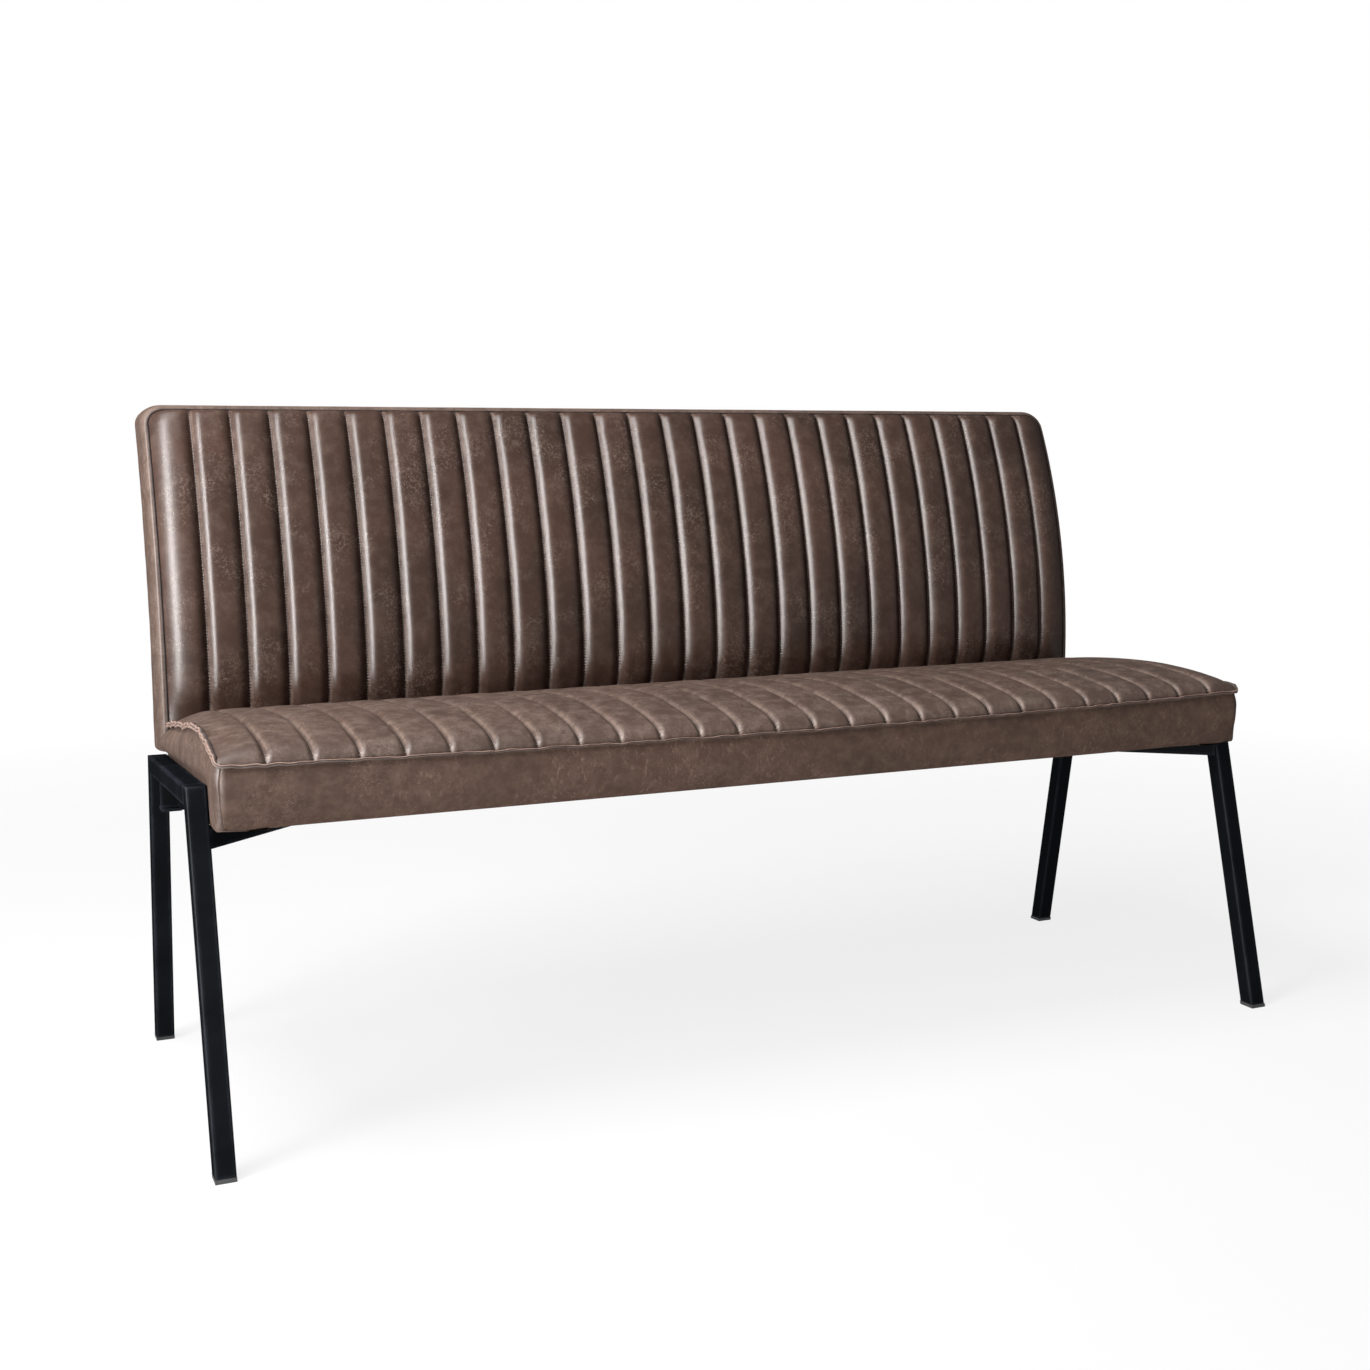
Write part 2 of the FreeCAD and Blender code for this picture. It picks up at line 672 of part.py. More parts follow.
def back_station(share):
    """Seam point and outward direction at a share of the way up the profile."""
    if share < 0:
        return V(0, back_front, straight + share * (straight - foot)), V(0, -1, 0)
    angle = share * top_angle
    return on_back(0, angle), V(0, -math.cos(angle), math.sin(angle))


sections = []
for share, rise_share in zip(BACK_SHARES, BACK_RISE_SHARES):
    point, outward = back_station(share)
    sections.append(channel_section(point, outward, size("channel_rise") * rise_share,
                                    point - outward * panel_in, back_core))
soft("back_front_panel", loft(sections))

shift_back = V(0, -size("bench_depth") / 2, 0)
foam = layer(panel_in, foam_in, top_angle, rear_angle, back_core, faceted=True)
soft("back_foam", foam.cut([slot.Shape.translated(-shift_back) for slot in slots]))
ply = layer(foam_in, board_in, rear_angle, rear_angle, back_core)
soft("back_board", ply.cut([hole.Shape.translated(-shift_back) for hole in board_holes]))
soft("back_rear_panel", layer(board_in, rear_in, rear_angle, rear_angle, back_core))

bottom_plate = box("back_bottom_boxing", "2 * " + CORE_HALF,
                   "back_panel + back_foam + board + cover", "cover",
                   ("-" + CORE_HALF, from_front("back_front_setback"), "back_bottom_height"))
node(cut("back_bottom_boxing", bottom_plate, bottom_slots), "back_bottom_boxing")

# Crowned strip closing the top of the back
reach = V(-back_half, 0, 0)
ridge = [reach + point for point in (
    on_back(0, top_angle), on_back(panel_in, top_angle), on_back(foam_in, rear_angle),
    on_back(board_in, rear_angle), on_back(rear_in, rear_angle))]
chord = ridge[-1] - ridge[0]
lift = V(0, -chord.z, chord.y).normalize() * size("back_crown")
soft("back_top_boxing", extruded(
    [line(first, last) for first, last in zip(ridge, ridge[1:])]
    + [bow(ridge[-1], (ridge[0] + ridge[-1]) / 2 + lift, ridge[0])], back_half))

seam_solids = []
for side, sign in zip(SIDES, (-1, 1)):
    sections = []
    trims = []
    for share in BACK_SHARES:
        point, outward = back_station(share)
        far = point - outward * rear_in
        if share == 1.0:
            far = on_back(rear_in, rear_angle)
        inner = V(sign * back_core, 0, 0)
        outer = V(sign * back_half, 0, 0)
        swell = V(sign * (back_half + size("back_bulge")), 0, 0) + (point + far) / 2
        sections.append(Part.Wire([
            line(inner + point, outer + point), bow(outer + point, swell, outer + far),
            line(outer + far, inner + far), line(inner + far, inner + point)]))
        ahead_of = point + outward * edge
        brim = V(sign * (back_core + edge), 0, 0)
        trims.append(strip([inner + point, inner + ahead_of, brim + ahead_of, brim + point]))
    soft("back_%s_boxing" % side, loft(sections))
    seam_solids.append(loft(trims))

point, outward = back_station(1.0)
upward = V(0, outward.z, -outward.y) * edge
reach = V(-back_core - edge, 0, 0)
cap = strip([reach + point, reach + point + outward * edge, reach + point + outward * edge + upward,
             reach + point + upward])
seam_solids.append(Part.Face(cap).extrude(V(2 * (back_core + edge), 0, 0)))
soft("back_seam_edge", seam_solids[-1].multiFuse(seam_solids[:-1]).Solids[0])

doc.recompute()
for thing in doc.Objects:
    if "Invalid" in thing.State or "Error" in thing.State:
        raise RuntimeError("not built: " + thing.Label)

os.makedirs("parts", exist_ok=True)
for thing in nodes:
    if thing.Shape.isNull() or not thing.Shape.isValid():
        raise RuntimeError("bad shape: " + thing.Label)
    thing.Shape.exportStep("parts/%s.step" % thing.Label)
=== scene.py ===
import json
import math

import bmesh
import bpy
import numpy as np
from mathutils import Matrix, Vector


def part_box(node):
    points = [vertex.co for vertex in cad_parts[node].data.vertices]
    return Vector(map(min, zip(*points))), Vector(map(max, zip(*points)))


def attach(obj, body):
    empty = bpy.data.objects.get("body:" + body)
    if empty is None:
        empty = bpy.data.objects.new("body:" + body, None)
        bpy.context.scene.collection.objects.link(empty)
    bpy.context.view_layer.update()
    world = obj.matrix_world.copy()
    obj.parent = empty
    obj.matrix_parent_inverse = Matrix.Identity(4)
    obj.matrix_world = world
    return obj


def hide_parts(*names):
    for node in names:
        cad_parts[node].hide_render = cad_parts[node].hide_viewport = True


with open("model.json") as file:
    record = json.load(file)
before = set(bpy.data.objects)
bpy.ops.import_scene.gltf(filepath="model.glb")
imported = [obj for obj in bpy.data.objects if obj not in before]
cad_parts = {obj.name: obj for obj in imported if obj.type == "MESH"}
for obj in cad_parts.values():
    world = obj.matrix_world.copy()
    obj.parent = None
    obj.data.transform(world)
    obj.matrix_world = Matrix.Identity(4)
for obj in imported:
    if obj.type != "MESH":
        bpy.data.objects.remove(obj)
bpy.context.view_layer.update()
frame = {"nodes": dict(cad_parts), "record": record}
scene = bpy.context.scene

# Places read from the CAD frame, in metres. Setbacks run rearwards from the front feet.
FEET_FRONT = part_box("left_front_glide")[0].y
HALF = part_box("seat_front_boxing")[1].x
UNDER_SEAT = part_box("seat_front_boxing")[0].z
BACK_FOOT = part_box("back_bottom_boxing")[0].z
RAIL_LOW, RAIL_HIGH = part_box("right_side_rail")

CHANNELS = 27
PITCH = 2 * HALF / CHANNELS

# Thickness of the cover, depth of the pads beneath their seams, and how full the padding is
COVER, PAD_DEPTH, FILL = 0.0015, 0.006, 0.85

# Pitch of the stitches, and the length and radius of each thread
STITCH = 0.0042
THREAD_LENGTH, THREAD_RADIUS = 0.8 * STITCH, 0.00045

# Cloth simulation of the pads
SWELL_PRESSURE, SWELL_CAP, SWELL_FRAMES = 2.5, 0.0015, 20


def at(setback):
    return FEET_FRONT + setback


def spline(keys, places):
    """Smooth curve through key points that doesn't overshoot, read at the given places."""
    x, y = np.array(keys, float).T
    slope = np.diff(y) / np.diff(x)
    lean = np.concatenate([slope[:1], (slope[:-1] + slope[1:]) / 2, slope[-1:]])
    lean[1:-1][slope[:-1] * slope[1:] <= 0] = 0
    i = np.clip(np.searchsorted(x, places, side="right") - 1, 0, len(x) - 2)
    h = x[i + 1] - x[i]
    t = np.clip((places - x[i]) / h, 0, 1)
    start = (2 * t**3 - 3 * t**2 + 1) * y[i] + (t**3 - 2 * t**2 + t) * h * lean[i]
    return start + (3 * t**2 - 2 * t**3) * y[i + 1] + (t**3 - t**2) * h * lean[i + 1]


def wobble(a, b, seed):
    """Slow repeatable unevenness between about minus one and one."""
    s = seed * 1.7
    broad = np.sin(a * 3.1 + s) * np.sin(b * 2.3 + 2 * s)
    middling = 0.6 * np.sin(a * 7.7 + 3 * s + 1.3 * np.sin(b * 5.1 + s))
    return (broad + middling + 0.4 * np.sin(a * 17.3 + 5 * s + b * 9.7)) / 2


def ease(value, low, high):
    """Zero below low, one above high, smooth between."""
    t = np.clip((value - low) / (high - low), 0, 1)
    return t * t * (3 - 2 * t)


def lengths(points):
    """Distance along a line of points."""
    return np.concatenate([[0], np.cumsum(np.linalg.norm(np.diff(points, axis=0), axis=1))])


def both_ends(parts, middle, sign):
    """Values along the left end and the middle of a line, then along the right end, mirrored by sign."""
    return np.concatenate(parts + [middle] + [sign * part[::-1] for part in parts[::-1]])


class Profile:
    """Side outline of a panel, followed by distance along it, with its outward direction."""

    def __init__(self, setbacks, heights):
        line = np.stack([setbacks, heights], -1)
        self.run = lengths(line)
        self.end = self.run[-1]
        self.setback = setbacks
        self.height = heights
        step = np.gradient(line, self.run, axis=0)
        step /= np.linalg.norm(step, axis=1, keepdims=True)
        self.out_y = -step[:, 1]
        self.out_z = step[:, 0]

    def read(self, run):
        rows = (self.setback, self.height, self.out_y, self.out_z)
        return [np.interp(run, self.run, row) for row in rows]

    def place(self, x, run, out):
        s, z, oy, oz = self.read(run)
        return np.stack([x, at(s + oy * out), z + oz * out], -1)


# Mesh building
def new_object(name, verts, faces, layers=None):
    mesh = bpy.data.meshes.new(name)
    mesh.from_pydata(np.asarray(verts, float).tolist(), [], [[int(i) for i in face] for face in faces])
    for key, values in (layers or {}).items():
        layer = mesh.attributes.new(key, "FLOAT", "POINT")
        layer.data.foreach_set("value", np.asarray(values, np.float32).ravel())
    work = bmesh.new()
    work.from_mesh(mesh)
    bmesh.ops.recalc_face_normals(work, faces=work.faces)
    work.to_mesh(mesh)
    work.free()
    mesh.polygons.foreach_set("use_smooth", [True] * len(mesh.polygons))
    obj = bpy.data.objects.new(name, mesh)
    scene.collection.objects.link(obj)
    return obj


def grid_faces(rows, cols, start=0):
    """Quads over a grid of points stored row by row."""
    a = (np.arange(rows - 1)[:, None] * cols + np.arange(cols - 1)[None, :]).ravel() + start
    return np.stack([a, a + 1, a + cols + 1, a + cols], -1)


def rim(rows, cols):
    """Indices round the border of a grid, in order."""
    right = np.arange(1, rows) * cols + cols - 1
    bottom = (rows - 1) * cols + np.arange(cols - 2, -1, -1)
    left = np.arange(rows - 2, 0, -1) * cols
    return np.concatenate([np.arange(cols), right, bottom, left])


def shell(name, outer, inner, layers=None):
    """Closed form from an outer grid and the matching grid beneath it."""
    rows, cols = outer.shape[:2]
    count = rows * cols
    border = rim(rows, cols)
    after = np.roll(border, -1)
    edge = np.stack([border, border + count, after + count, after], -1)
    faces = np.concatenate([grid_faces(rows, cols), grid_faces(rows, cols, count), edge])
    both = {key: np.concatenate([np.ravel(v), np.ravel(v)]) for key, v in (layers or {}).items()}
    return new_object(name, np.concatenate([outer.reshape(-1, 3), inner.reshape(-1, 3)]), faces, both)


def sweep(name, centre, out, up, section, layers=None):
    """Closed section carried along a path and capped at both ends."""
    rows, cols = len(centre), len(section)
    verts = centre[:, None] + out[:, None] * section[None, :, :1] + up[:, None] * section[None, :, 1:]
    a = (np.arange(rows - 1)[:, None] * cols + np.arange(cols)[None, :]).ravel()
    b = (np.arange(rows - 1)[:, None] * cols + (np.arange(cols)[None, :] + 1) % cols).ravel()
    faces = np.stack([a, b, b + cols, a + cols], -1).tolist()
    faces += [list(range(cols)), [(rows - 1) * cols + i for i in range(cols)]]
    return new_object(name, verts.reshape(-1, 3), faces, layers)


def stitches(name, centres, along, out):
    """Short threads, thick in the middle and pointed at the ends, one at each centre."""
    side = np.cross(along, out)
    ring = [(-0.5, 0, 0), (-0.2, 1, 0), (-0.2, 0, 1), (-0.2, -1, 0), (-0.2, 0, -1),
            (0.2, 1, 0), (0.2, 0, 1), (0.2, -1, 0), (0.2, 0, -1), (0.5, 0, 0)]
    verts = np.stack([centres + along * a * THREAD_LENGTH + (side * b + out * c) * THREAD_RADIUS
                      for a, b, c in ring], 1)
    caps = [[0, 1 + (i + 1) % 4, 1 + i] for i in range(4)] + [[9, 5 + i, 5 + (i + 1) % 4] for i in range(4)]
    walls = [[1 + i, 1 + (i + 1) % 4, 5 + (i + 1) % 4, 5 + i] for i in range(4)]
    faces = [[n * len(ring) + i for i in face] for n in range(len(centres)) for face in caps + walls]
    return new_object(name, verts.reshape(-1, 3), faces)


def smooth(obj):
    mod = obj.modifiers.new("smooth", "SUBSURF")
    mod.levels = 1
    mod.render_levels = 1


def dress(obj, mat, slot, *nodes, fill=None):
    """Give a piece its material and body, and hide the CAD nodes it stands for. The slot is not used."""
    obj.data.materials.append(mat)
    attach(obj, "root")
    if nodes:
        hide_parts(*nodes)
    return obj


def swell(obj, free):
    """Blow up the free points of a sewn pad as cloth under pressure, each no further than a cap."""
    mesh = obj.data
    held = obj.vertex_groups.new(name="held")
    held.add(np.flatnonzero(~free).tolist(), 1.0, "REPLACE")
    mod = obj.modifiers.new("swell", "CLOTH")
    cloth = mod.settings
    cloth.quality = 4
    cloth.mass = 0.25
    cloth.tension_stiffness = 20
    cloth.compression_stiffness = 20
    cloth.shear_stiffness = 8
    cloth.bending_stiffness = 0.6
    cloth.vertex_group_mass = held.name
    cloth.use_pressure = True
    cloth.uniform_pressure_force = SWELL_PRESSURE
    cloth.effector_weights.gravity = 0
    mod.collision_settings.use_collision = False
    mod.point_cache.frame_end = SWELL_FRAMES
    for number in range(1, SWELL_FRAMES + 1):
        scene.frame_set(number)
    posed = obj.evaluated_get(bpy.context.evaluated_depsgraph_get())
    rest = np.empty(len(mesh.vertices) * 3)
    blown = np.empty_like(rest)
    mesh.vertices.foreach_get("co", rest)
    posed.to_mesh().vertices.foreach_get("co", blown)
    posed.to_mesh_clear()
    rest = rest.reshape(-1, 3)
    move = blown.reshape(-1, 3) - rest
    far = np.linalg.norm(move, axis=1, keepdims=True)
    move *= np.minimum(1, SWELL_CAP / np.maximum(far, 1e-9))
    obj.modifiers.remove(mod)
    obj.vertex_groups.remove(held)
    mesh.vertices.foreach_set("co", (rest + move).ravel())
    mesh.update()
    scene.frame_set(1)


def crease(obj, chosen):
    """Keep the chosen columns of a grid, its sewn lines, sharp under subdivision."""
    mesh = obj.data
    columns = len(chosen)
    ends = np.empty(len(mesh.edges) * 2, np.int64)
    mesh.edges.foreach_get("vertices", ends)
    a, b = ends.reshape(-1, 2).T
    sewn = (a % columns == b % columns) & chosen[a % columns]
    layer = mesh.attributes.new("crease_edge", "FLOAT", "EDGE")
    layer.data.foreach_set("value", np.where(sewn, 0.9, 0).astype(np.float32))


# Materials
class Nodes:
    """Short ways to add and join shader nodes."""

    def __init__(self, tree):
        self.tree = tree

    def put(self, socket, value):
        if isinstance(value, bpy.types.NodeSocket):
            self.tree.links.new(value, socket)
        else:
            socket.default_value = value

    def make(self, kind, out=0, **inputs):
        node = self.tree.nodes.new("ShaderNode" + kind)
        for key, value in inputs.items():
            self.put(node.inputs[key.replace("_", " ")], value)
        return node.outputs[out]

    def place(self, scale=(1, 1, 1)):
        return self.make("Mapping", Vector=self.make("TexCoord", 3), Scale=scale)

    def noise(self, vector, scale, detail=4.0, rough=0.55):
        return self.make("TexNoise", Vector=vector, Scale=scale, Detail=detail, Roughness=rough)

    def cells(self, vector, scale, feature="F1"):
        node = self.tree.nodes.new("ShaderNodeTexVoronoi")
        node.feature = feature
        self.put(node.inputs["Vector"], vector)
        self.put(node.inputs["Scale"], scale)
        return node.outputs["Distance"]

    def attribute(self, name):
        node = self.tree.nodes.new("ShaderNodeAttribute")
        node.attribute_name = name
        return node.outputs["Fac"]

    def math(self, operation, a, b=0.0):
        node = self.tree.nodes.new("ShaderNodeMath")
        node.operation = operation
        self.put(node.inputs[0], a)
        self.put(node.inputs[1], b)
        return node.outputs[0]

    def span(self, value, low, high, to_low=0.0, to_high=1.0):
        """A value stretched from one range to another."""
        return self.make("MapRange", Value=value, From_Min=low, From_Max=high,
                         To_Min=to_low, To_Max=to_high)

    def mix(self, factor, a, b):
        node = self.tree.nodes.new("ShaderNodeMix")
        node.data_type = "RGBA"
        for socket, value in zip((node.inputs[0], node.inputs[6], node.inputs[7]), (factor, a, b)):
            self.put(socket, value)
        return node.outputs[2]

    def soft_gloss(self, shader, share, roughness, normal):
        """Mirror share that stays the same at every angle, for a surface too rough to glare edge-on."""
        shader.inputs["Specular IOR Level"].default_value = 0.0
        self.put(shader.inputs["Roughness"], roughness)
        self.put(shader.inputs["Normal"], normal)
        mirror = self.make("BsdfGlossy", Color=(1, 1, 1, 1), Roughness=roughness, Normal=normal)
        blend = self.tree.nodes.new("ShaderNodeMixShader")
        for socket, value in zip(blend.inputs, (share, shader.outputs[0], mirror)):
            self.put(socket, value)
        return blend.outputs[0]

    def bump(self, height, strength, distance, normal=None):
        node = self.tree.nodes.new("ShaderNodeBump")
        self.put(node.inputs["Height"], height)
        node.inputs["Strength"].default_value = strength
        node.inputs["Distance"].default_value = distance
        if normal is not None:
            self.put(node.inputs["Normal"], normal)
        return node.outputs[0]


def material(name, build):
    mat = bpy.data.materials.new(name)
    mat.use_nodes = True
    tree = mat.node_tree
    tree.nodes.clear()
    shader = tree.nodes.new("ShaderNodeBsdfPrincipled")
    surface = build(Nodes(tree), shader) or shader.outputs[0]
    tree.links.new(surface, tree.nodes.new("ShaderNodeOutputMaterial").inputs[0])
    return mat


def colour(r, g, b):
    """Screen colour in steps of 255 to scene-linear."""
    share = np.array([r, g, b]) / 255
    linear = np.where(share <= 0.04045, share / 12.92, ((share + 0.055) / 1.055) ** 2.4)
    return (*linear.tolist(), 1.0)


BROWN = colour(73, 53, 45)
DEEP = colour(56, 40, 33)
PALE = colour(130, 113, 103)
# Warmer pale for the front band, standing in for warmer light falling on the front
WARM_LIT_PALE = colour(130, 107, 93)
SHADE = colour(24, 16, 14)
TAN = colour(146, 116, 101)
# Pale of the real rub on the bands and of the painted highlight on the pads' channel flanks
RUB_AND_HIGHLIGHT = colour(152, 131, 120)


def leather(wear, mottle, streaks, rough, shine, seam_shade, pale=PALE):
    """Distressed leather-look cover: soft clouds, pale scuffs, painted shade in the seams, a pale mark by
    the seams that is real rub on the bands and a painted highlight on the channel flanks, and a fine grain.
    """
    def build(n, shader):
        place = n.place()
        cloud = n.noise(place, 8.0, 5.0, 0.6)
        patch = n.noise(place, 46.0, 7.0, 0.70)
        speck = n.noise(place, 240.0, 4.0, 0.75)
        worn = n.noise(place, 13.0, 3.0, 0.6)
        scratch = n.noise(n.place((1.3, 1.0, 0.65)), 130.0, 6.0, 0.72)
        hair = n.math("ABSOLUTE", n.math("SUBTRACT", n.noise(place, 95.0, 5.0, 0.6), 0.5))
        grain = n.cells(place, 1000.0)
        crackle = n.cells(place, 210.0, "DISTANCE_TO_EDGE")
        tone = n.mix(n.span(cloud, 0.36, 0.64), DEEP, BROWN)
        tone = n.mix(n.span(patch, 0.46, 0.68, wear, mottle), tone, pale)
        flecks = n.math("MULTIPLY", n.span(speck, 0.56, 0.68), n.span(worn, 0.46, 0.62))
        tone = n.mix(n.math("MULTIPLY", flecks, 0.6), tone, pale)
        scuffs = n.math("MULTIPLY", n.span(hair, 0.016, 0.003), n.span(worn, 0.5, 0.64))
        tone = n.mix(n.math("MULTIPLY", scuffs, 0.6), tone, pale)
        tone = n.mix(n.span(patch, 0.45, 0.27, 0.0, 0.4), tone, DEEP)
        drawn = n.math("MULTIPLY", n.span(scratch, 0.54, 0.70), n.span(cloud, 0.42, 0.6))
        tone = n.mix(n.math("MULTIPLY", drawn, streaks), tone, pale)
        seam = n.attribute("seam")
        # Painted shade in the seams and grooves
        tone = n.mix(n.span(seam, 0.0002, 0.0012, seam_shade, 0.0), tone, SHADE)
        # Pale mark from the lip attribute: real rub at the band seams, painted highlight on the pads'
        # channel flanks
        lip = n.math("MULTIPLY", n.attribute("lip"), n.span(patch, 0.38, 0.54, 0.3, 1.0))
        tone = n.mix(n.math("MULTIPLY", lip, 0.2), tone, RUB_AND_HIGHLIGHT)
        n.put(shader.inputs["Base Color"], tone)
        stitch = n.math("SINE", n.math("MULTIPLY", n.attribute("run"), 2 * math.pi / STITCH))
        pucker = n.math("MULTIPLY", stitch, n.span(seam, 0.0, 0.005, 1.0, 0.0))
        height = n.bump(n.span(crackle, 0.0, 0.10), 0.10, 0.0005)
        height = n.bump(grain, 0.16, 0.0004, height)
        height = n.bump(patch, 0.16, 0.0006, height)
        height = n.bump(pucker, 0.35, 0.0006, height)
        return n.soft_gloss(shader, shine, n.span(patch, 0.3, 0.7, rough, rough + 0.07), height)
    return build


def raw_edge(n, shader):
    """Cut edge of the cover: tan fibre along the lips, brown on the faces and painted shade, near black,
    between the layers.
    """
    place = n.place()
    cloud = n.noise(place, 55.0, 5.0, 0.7)
    fibre = n.noise(n.place((1, 1, 3)), 700.0, 3.0, 0.7)
    tone = n.mix(n.span(cloud, 0.38, 0.62), colour(128, 96, 80), TAN)
    tone = n.mix(n.span(fibre, 0.5, 0.7, 0.0, 0.5), tone, DEEP)
    tone = n.mix(n.attribute("lip"), DEEP, tone)
    tone = n.mix(n.attribute("gap"), tone, SHADE)
    n.put(shader.inputs["Base Color"], tone)
    n.put(shader.inputs["Roughness"], n.span(fibre, 0.3, 0.7, 0.65, 0.85))
    n.put(shader.inputs["Normal"], n.bump(fibre, 0.4, 0.0005))


def shade_fold(n, shader):
    """Tight fold of the cover in the seam round the back, coloured near black as painted shade in the
    groove, worn tan in places.
    """
    place = n.place()
    rub = n.noise(place, 30.0, 5.0, 0.7)
    dark = colour(24, 15, 13)
    n.put(shader.inputs["Base Color"], n.mix(n.span(rub, 0.6, 0.76, 0.0, 0.35), dark, TAN))
    n.put(shader.inputs["Roughness"], n.span(rub, 0.3, 0.7, 0.7, 0.55))
    shader.inputs["Specular IOR Level"].default_value = 0.15
    n.put(shader.inputs["Normal"], n.bump(n.cells(place, 900.0), 0.2, 0.0004))


def thread(n, shader):
    twist = n.noise(n.place(), 1500.0, 2.0)
    n.put(shader.inputs["Base Color"], n.mix(twist, colour(96, 78, 69), colour(138, 116, 104)))
    n.put(shader.inputs["Roughness"], n.span(twist, 0.3, 0.7, 0.5, 0.65))


def powder_coat(n, shader):
    place = n.place()
    peel = n.noise(place, 900.0, 3.0, 0.5)
    drift = n.noise(place, 20.0, 5.0, 0.6)
    # Paler line along rounded edges: a painted highlight, varied by the drift noise
    round_over = n.tree.nodes.new("ShaderNodeVectorMath")
    round_over.operation = "DOT_PRODUCT"
    n.put(round_over.inputs[0], n.make("Bevel", Radius=0.006))
    n.put(round_over.inputs[1], n.make("NewGeometry", 3))
    on_edge = n.span(round_over.outputs["Value"], 0.98, 0.92)
    painted_highlight = n.math("MULTIPLY", on_edge, n.span(drift, 0.35, 0.6, 0.1, 0.5))
    tone = n.mix(n.span(drift, 0.35, 0.7), colour(6, 8, 11), colour(10, 13, 18))
    n.put(shader.inputs["Base Color"], n.mix(painted_highlight, tone, colour(58, 62, 70)))
    return n.soft_gloss(shader, 0.003, n.span(drift, 0.3, 0.7, 0.45, 0.55), n.bump(peel, 0.12, 0.0003))


def plastic(n, shader):
    place = n.place()
    n.put(shader.inputs["Base Color"], n.mix(n.noise(place, 40.0), colour(11, 11, 12), colour(19, 19, 21)))
    n.put(shader.inputs["Roughness"], n.span(n.noise(place, 60.0), 0.3, 0.7, 0.55, 0.68))
    n.put(shader.inputs["Normal"], n.bump(n.noise(place, 1200.0, 2.0), 0.2, 0.0003))


def zinc(n, shader):
    spangle = n.cells(n.place(), 260.0)
    n.put(shader.inputs["Base Color"], n.mix(spangle, colour(160, 162, 164), colour(196, 198, 200)))
    shader.inputs["Metallic"].default_value = 1.0
    n.put(shader.inputs["Roughness"], n.span(spangle, 0.0, 0.8, 0.3, 0.42))


def plywood(n, shader):
    grain = n.noise(n.place((0.6, 14, 14)), 9.0, 8.0, 0.6)
    n.put(shader.inputs["Base Color"], n.mix(grain, colour(176, 140, 98), colour(212, 182, 138)))
    n.put(shader.inputs["Roughness"], n.span(grain, 0.3, 0.7, 0.65, 0.75))
    n.put(shader.inputs["Normal"], n.bump(grain, 0.2, 0.0005))


def lining(n, shader):
    fibre = n.noise(n.place((1, 1.6, 1)), 800.0, 4.0, 0.7)
    n.put(shader.inputs["Base Color"], n.mix(fibre, colour(18, 18, 19), colour(40, 40, 42)))
    n.put(shader.inputs["Roughness"], n.span(fibre, 0.3, 0.7, 0.85, 0.98))
    n.put(shader.inputs["Normal"], n.bump(fibre, 0.5, 0.0005))


mat_back = material("leather_back", leather(
    wear=0.0, mottle=0.14, streaks=0.12, rough=0.30, shine=0.014, seam_shade=0.8))
mat_seat = material("leather_seat", leather(
    wear=0.18, mottle=0.54, streaks=0.5, rough=0.42, shine=0.018, seam_shade=0.6))
mat_bands = material("leather_bands", leather(
    wear=0.20, mottle=0.42, streaks=0.9, rough=0.44, shine=0.015, seam_shade=0.6))
# The front band is a copy of the bands' leather with warmer pale patches, standing in for warmer light on
# the front
mat_front_warm_lit = material("leather_front_warm_lit", leather(
    wear=0.20, mottle=0.42, streaks=0.9, rough=0.44, shine=0.012, seam_shade=0.6, pale=WARM_LIT_PALE))
mat_edge = material("raw_seam_edge", raw_edge)
mat_shade_fold = material("seam_shade_fold", shade_fold)
mat_thread = material("tone_thread", thread)
mat_lining = material("dust_cloth", lining)
NODE_MATERIALS = {"frame_steel": material("satin_black_steel", powder_coat),
                  "glide_plastic": material("black_plastic", plastic),
                  "fastener_steel": material("zinc_steel", zinc),
                  "plywood": material("plywood", plywood),
                  "dust_cloth": mat_lining, "foam": mat_lining,
                  "leather": mat_bands, "leather_edge": mat_edge}
for part in frame["record"]["subparts"]:
    node = frame["nodes"][part["node"]]
    node.data.materials.clear()
    node.data.materials.append(NODE_MATERIALS[part["material_slot"]])


# Channelled panels
HALF_COLUMNS = np.array([0.0, 0.05, 0.10, 0.145, 0.18, 0.215, 0.26, 0.36])
COLUMNS = np.concatenate([HALF_COLUMNS, [0.5], 1 - HALF_COLUMNS[:0:-1]])
STEPS = len(COLUMNS)

# Share of a channel's width over which it climbs from a seam to its full height
SHOULDER = 0.30


def channel_columns():
    """Places along the length counted in channels, closer together beside the seams."""
    return np.concatenate([(np.arange(CHANNELS)[:, None] + COLUMNS[None, :]).ravel(), [CHANNELS]])


def puff(u, tight=1.0, ends=1.0):
    """Height share across a channel: flat in the middle and ever steeper down to the seams."""
    t = u - np.floor(np.minimum(u, CHANNELS - 1e-9))
    outer = (u < 0.5) | (u > CHANNELS - 0.5)
    climb = np.minimum(np.minimum(t, 1 - t) * np.where(outer, ends, tight) / SHOULDER, 1)
    return 1 - (1 - climb) ** 2


def seam_gap(u):
    """Distance to the nearest sewn line between two channels."""
    gap = np.abs(u - np.clip(np.round(u), 1, CHANNELS - 1))
    return gap * PITCH


def painted_flank_highlight(u):
    """Share of painted highlight on the left flank of each channel, just beside its seam."""
    beside = (u - np.floor(np.minimum(u, CHANNELS - 1e-9))) * PITCH
    return np.where(u >= 1, np.exp(-((beside - 0.0022) / 0.0016) ** 2), 0)


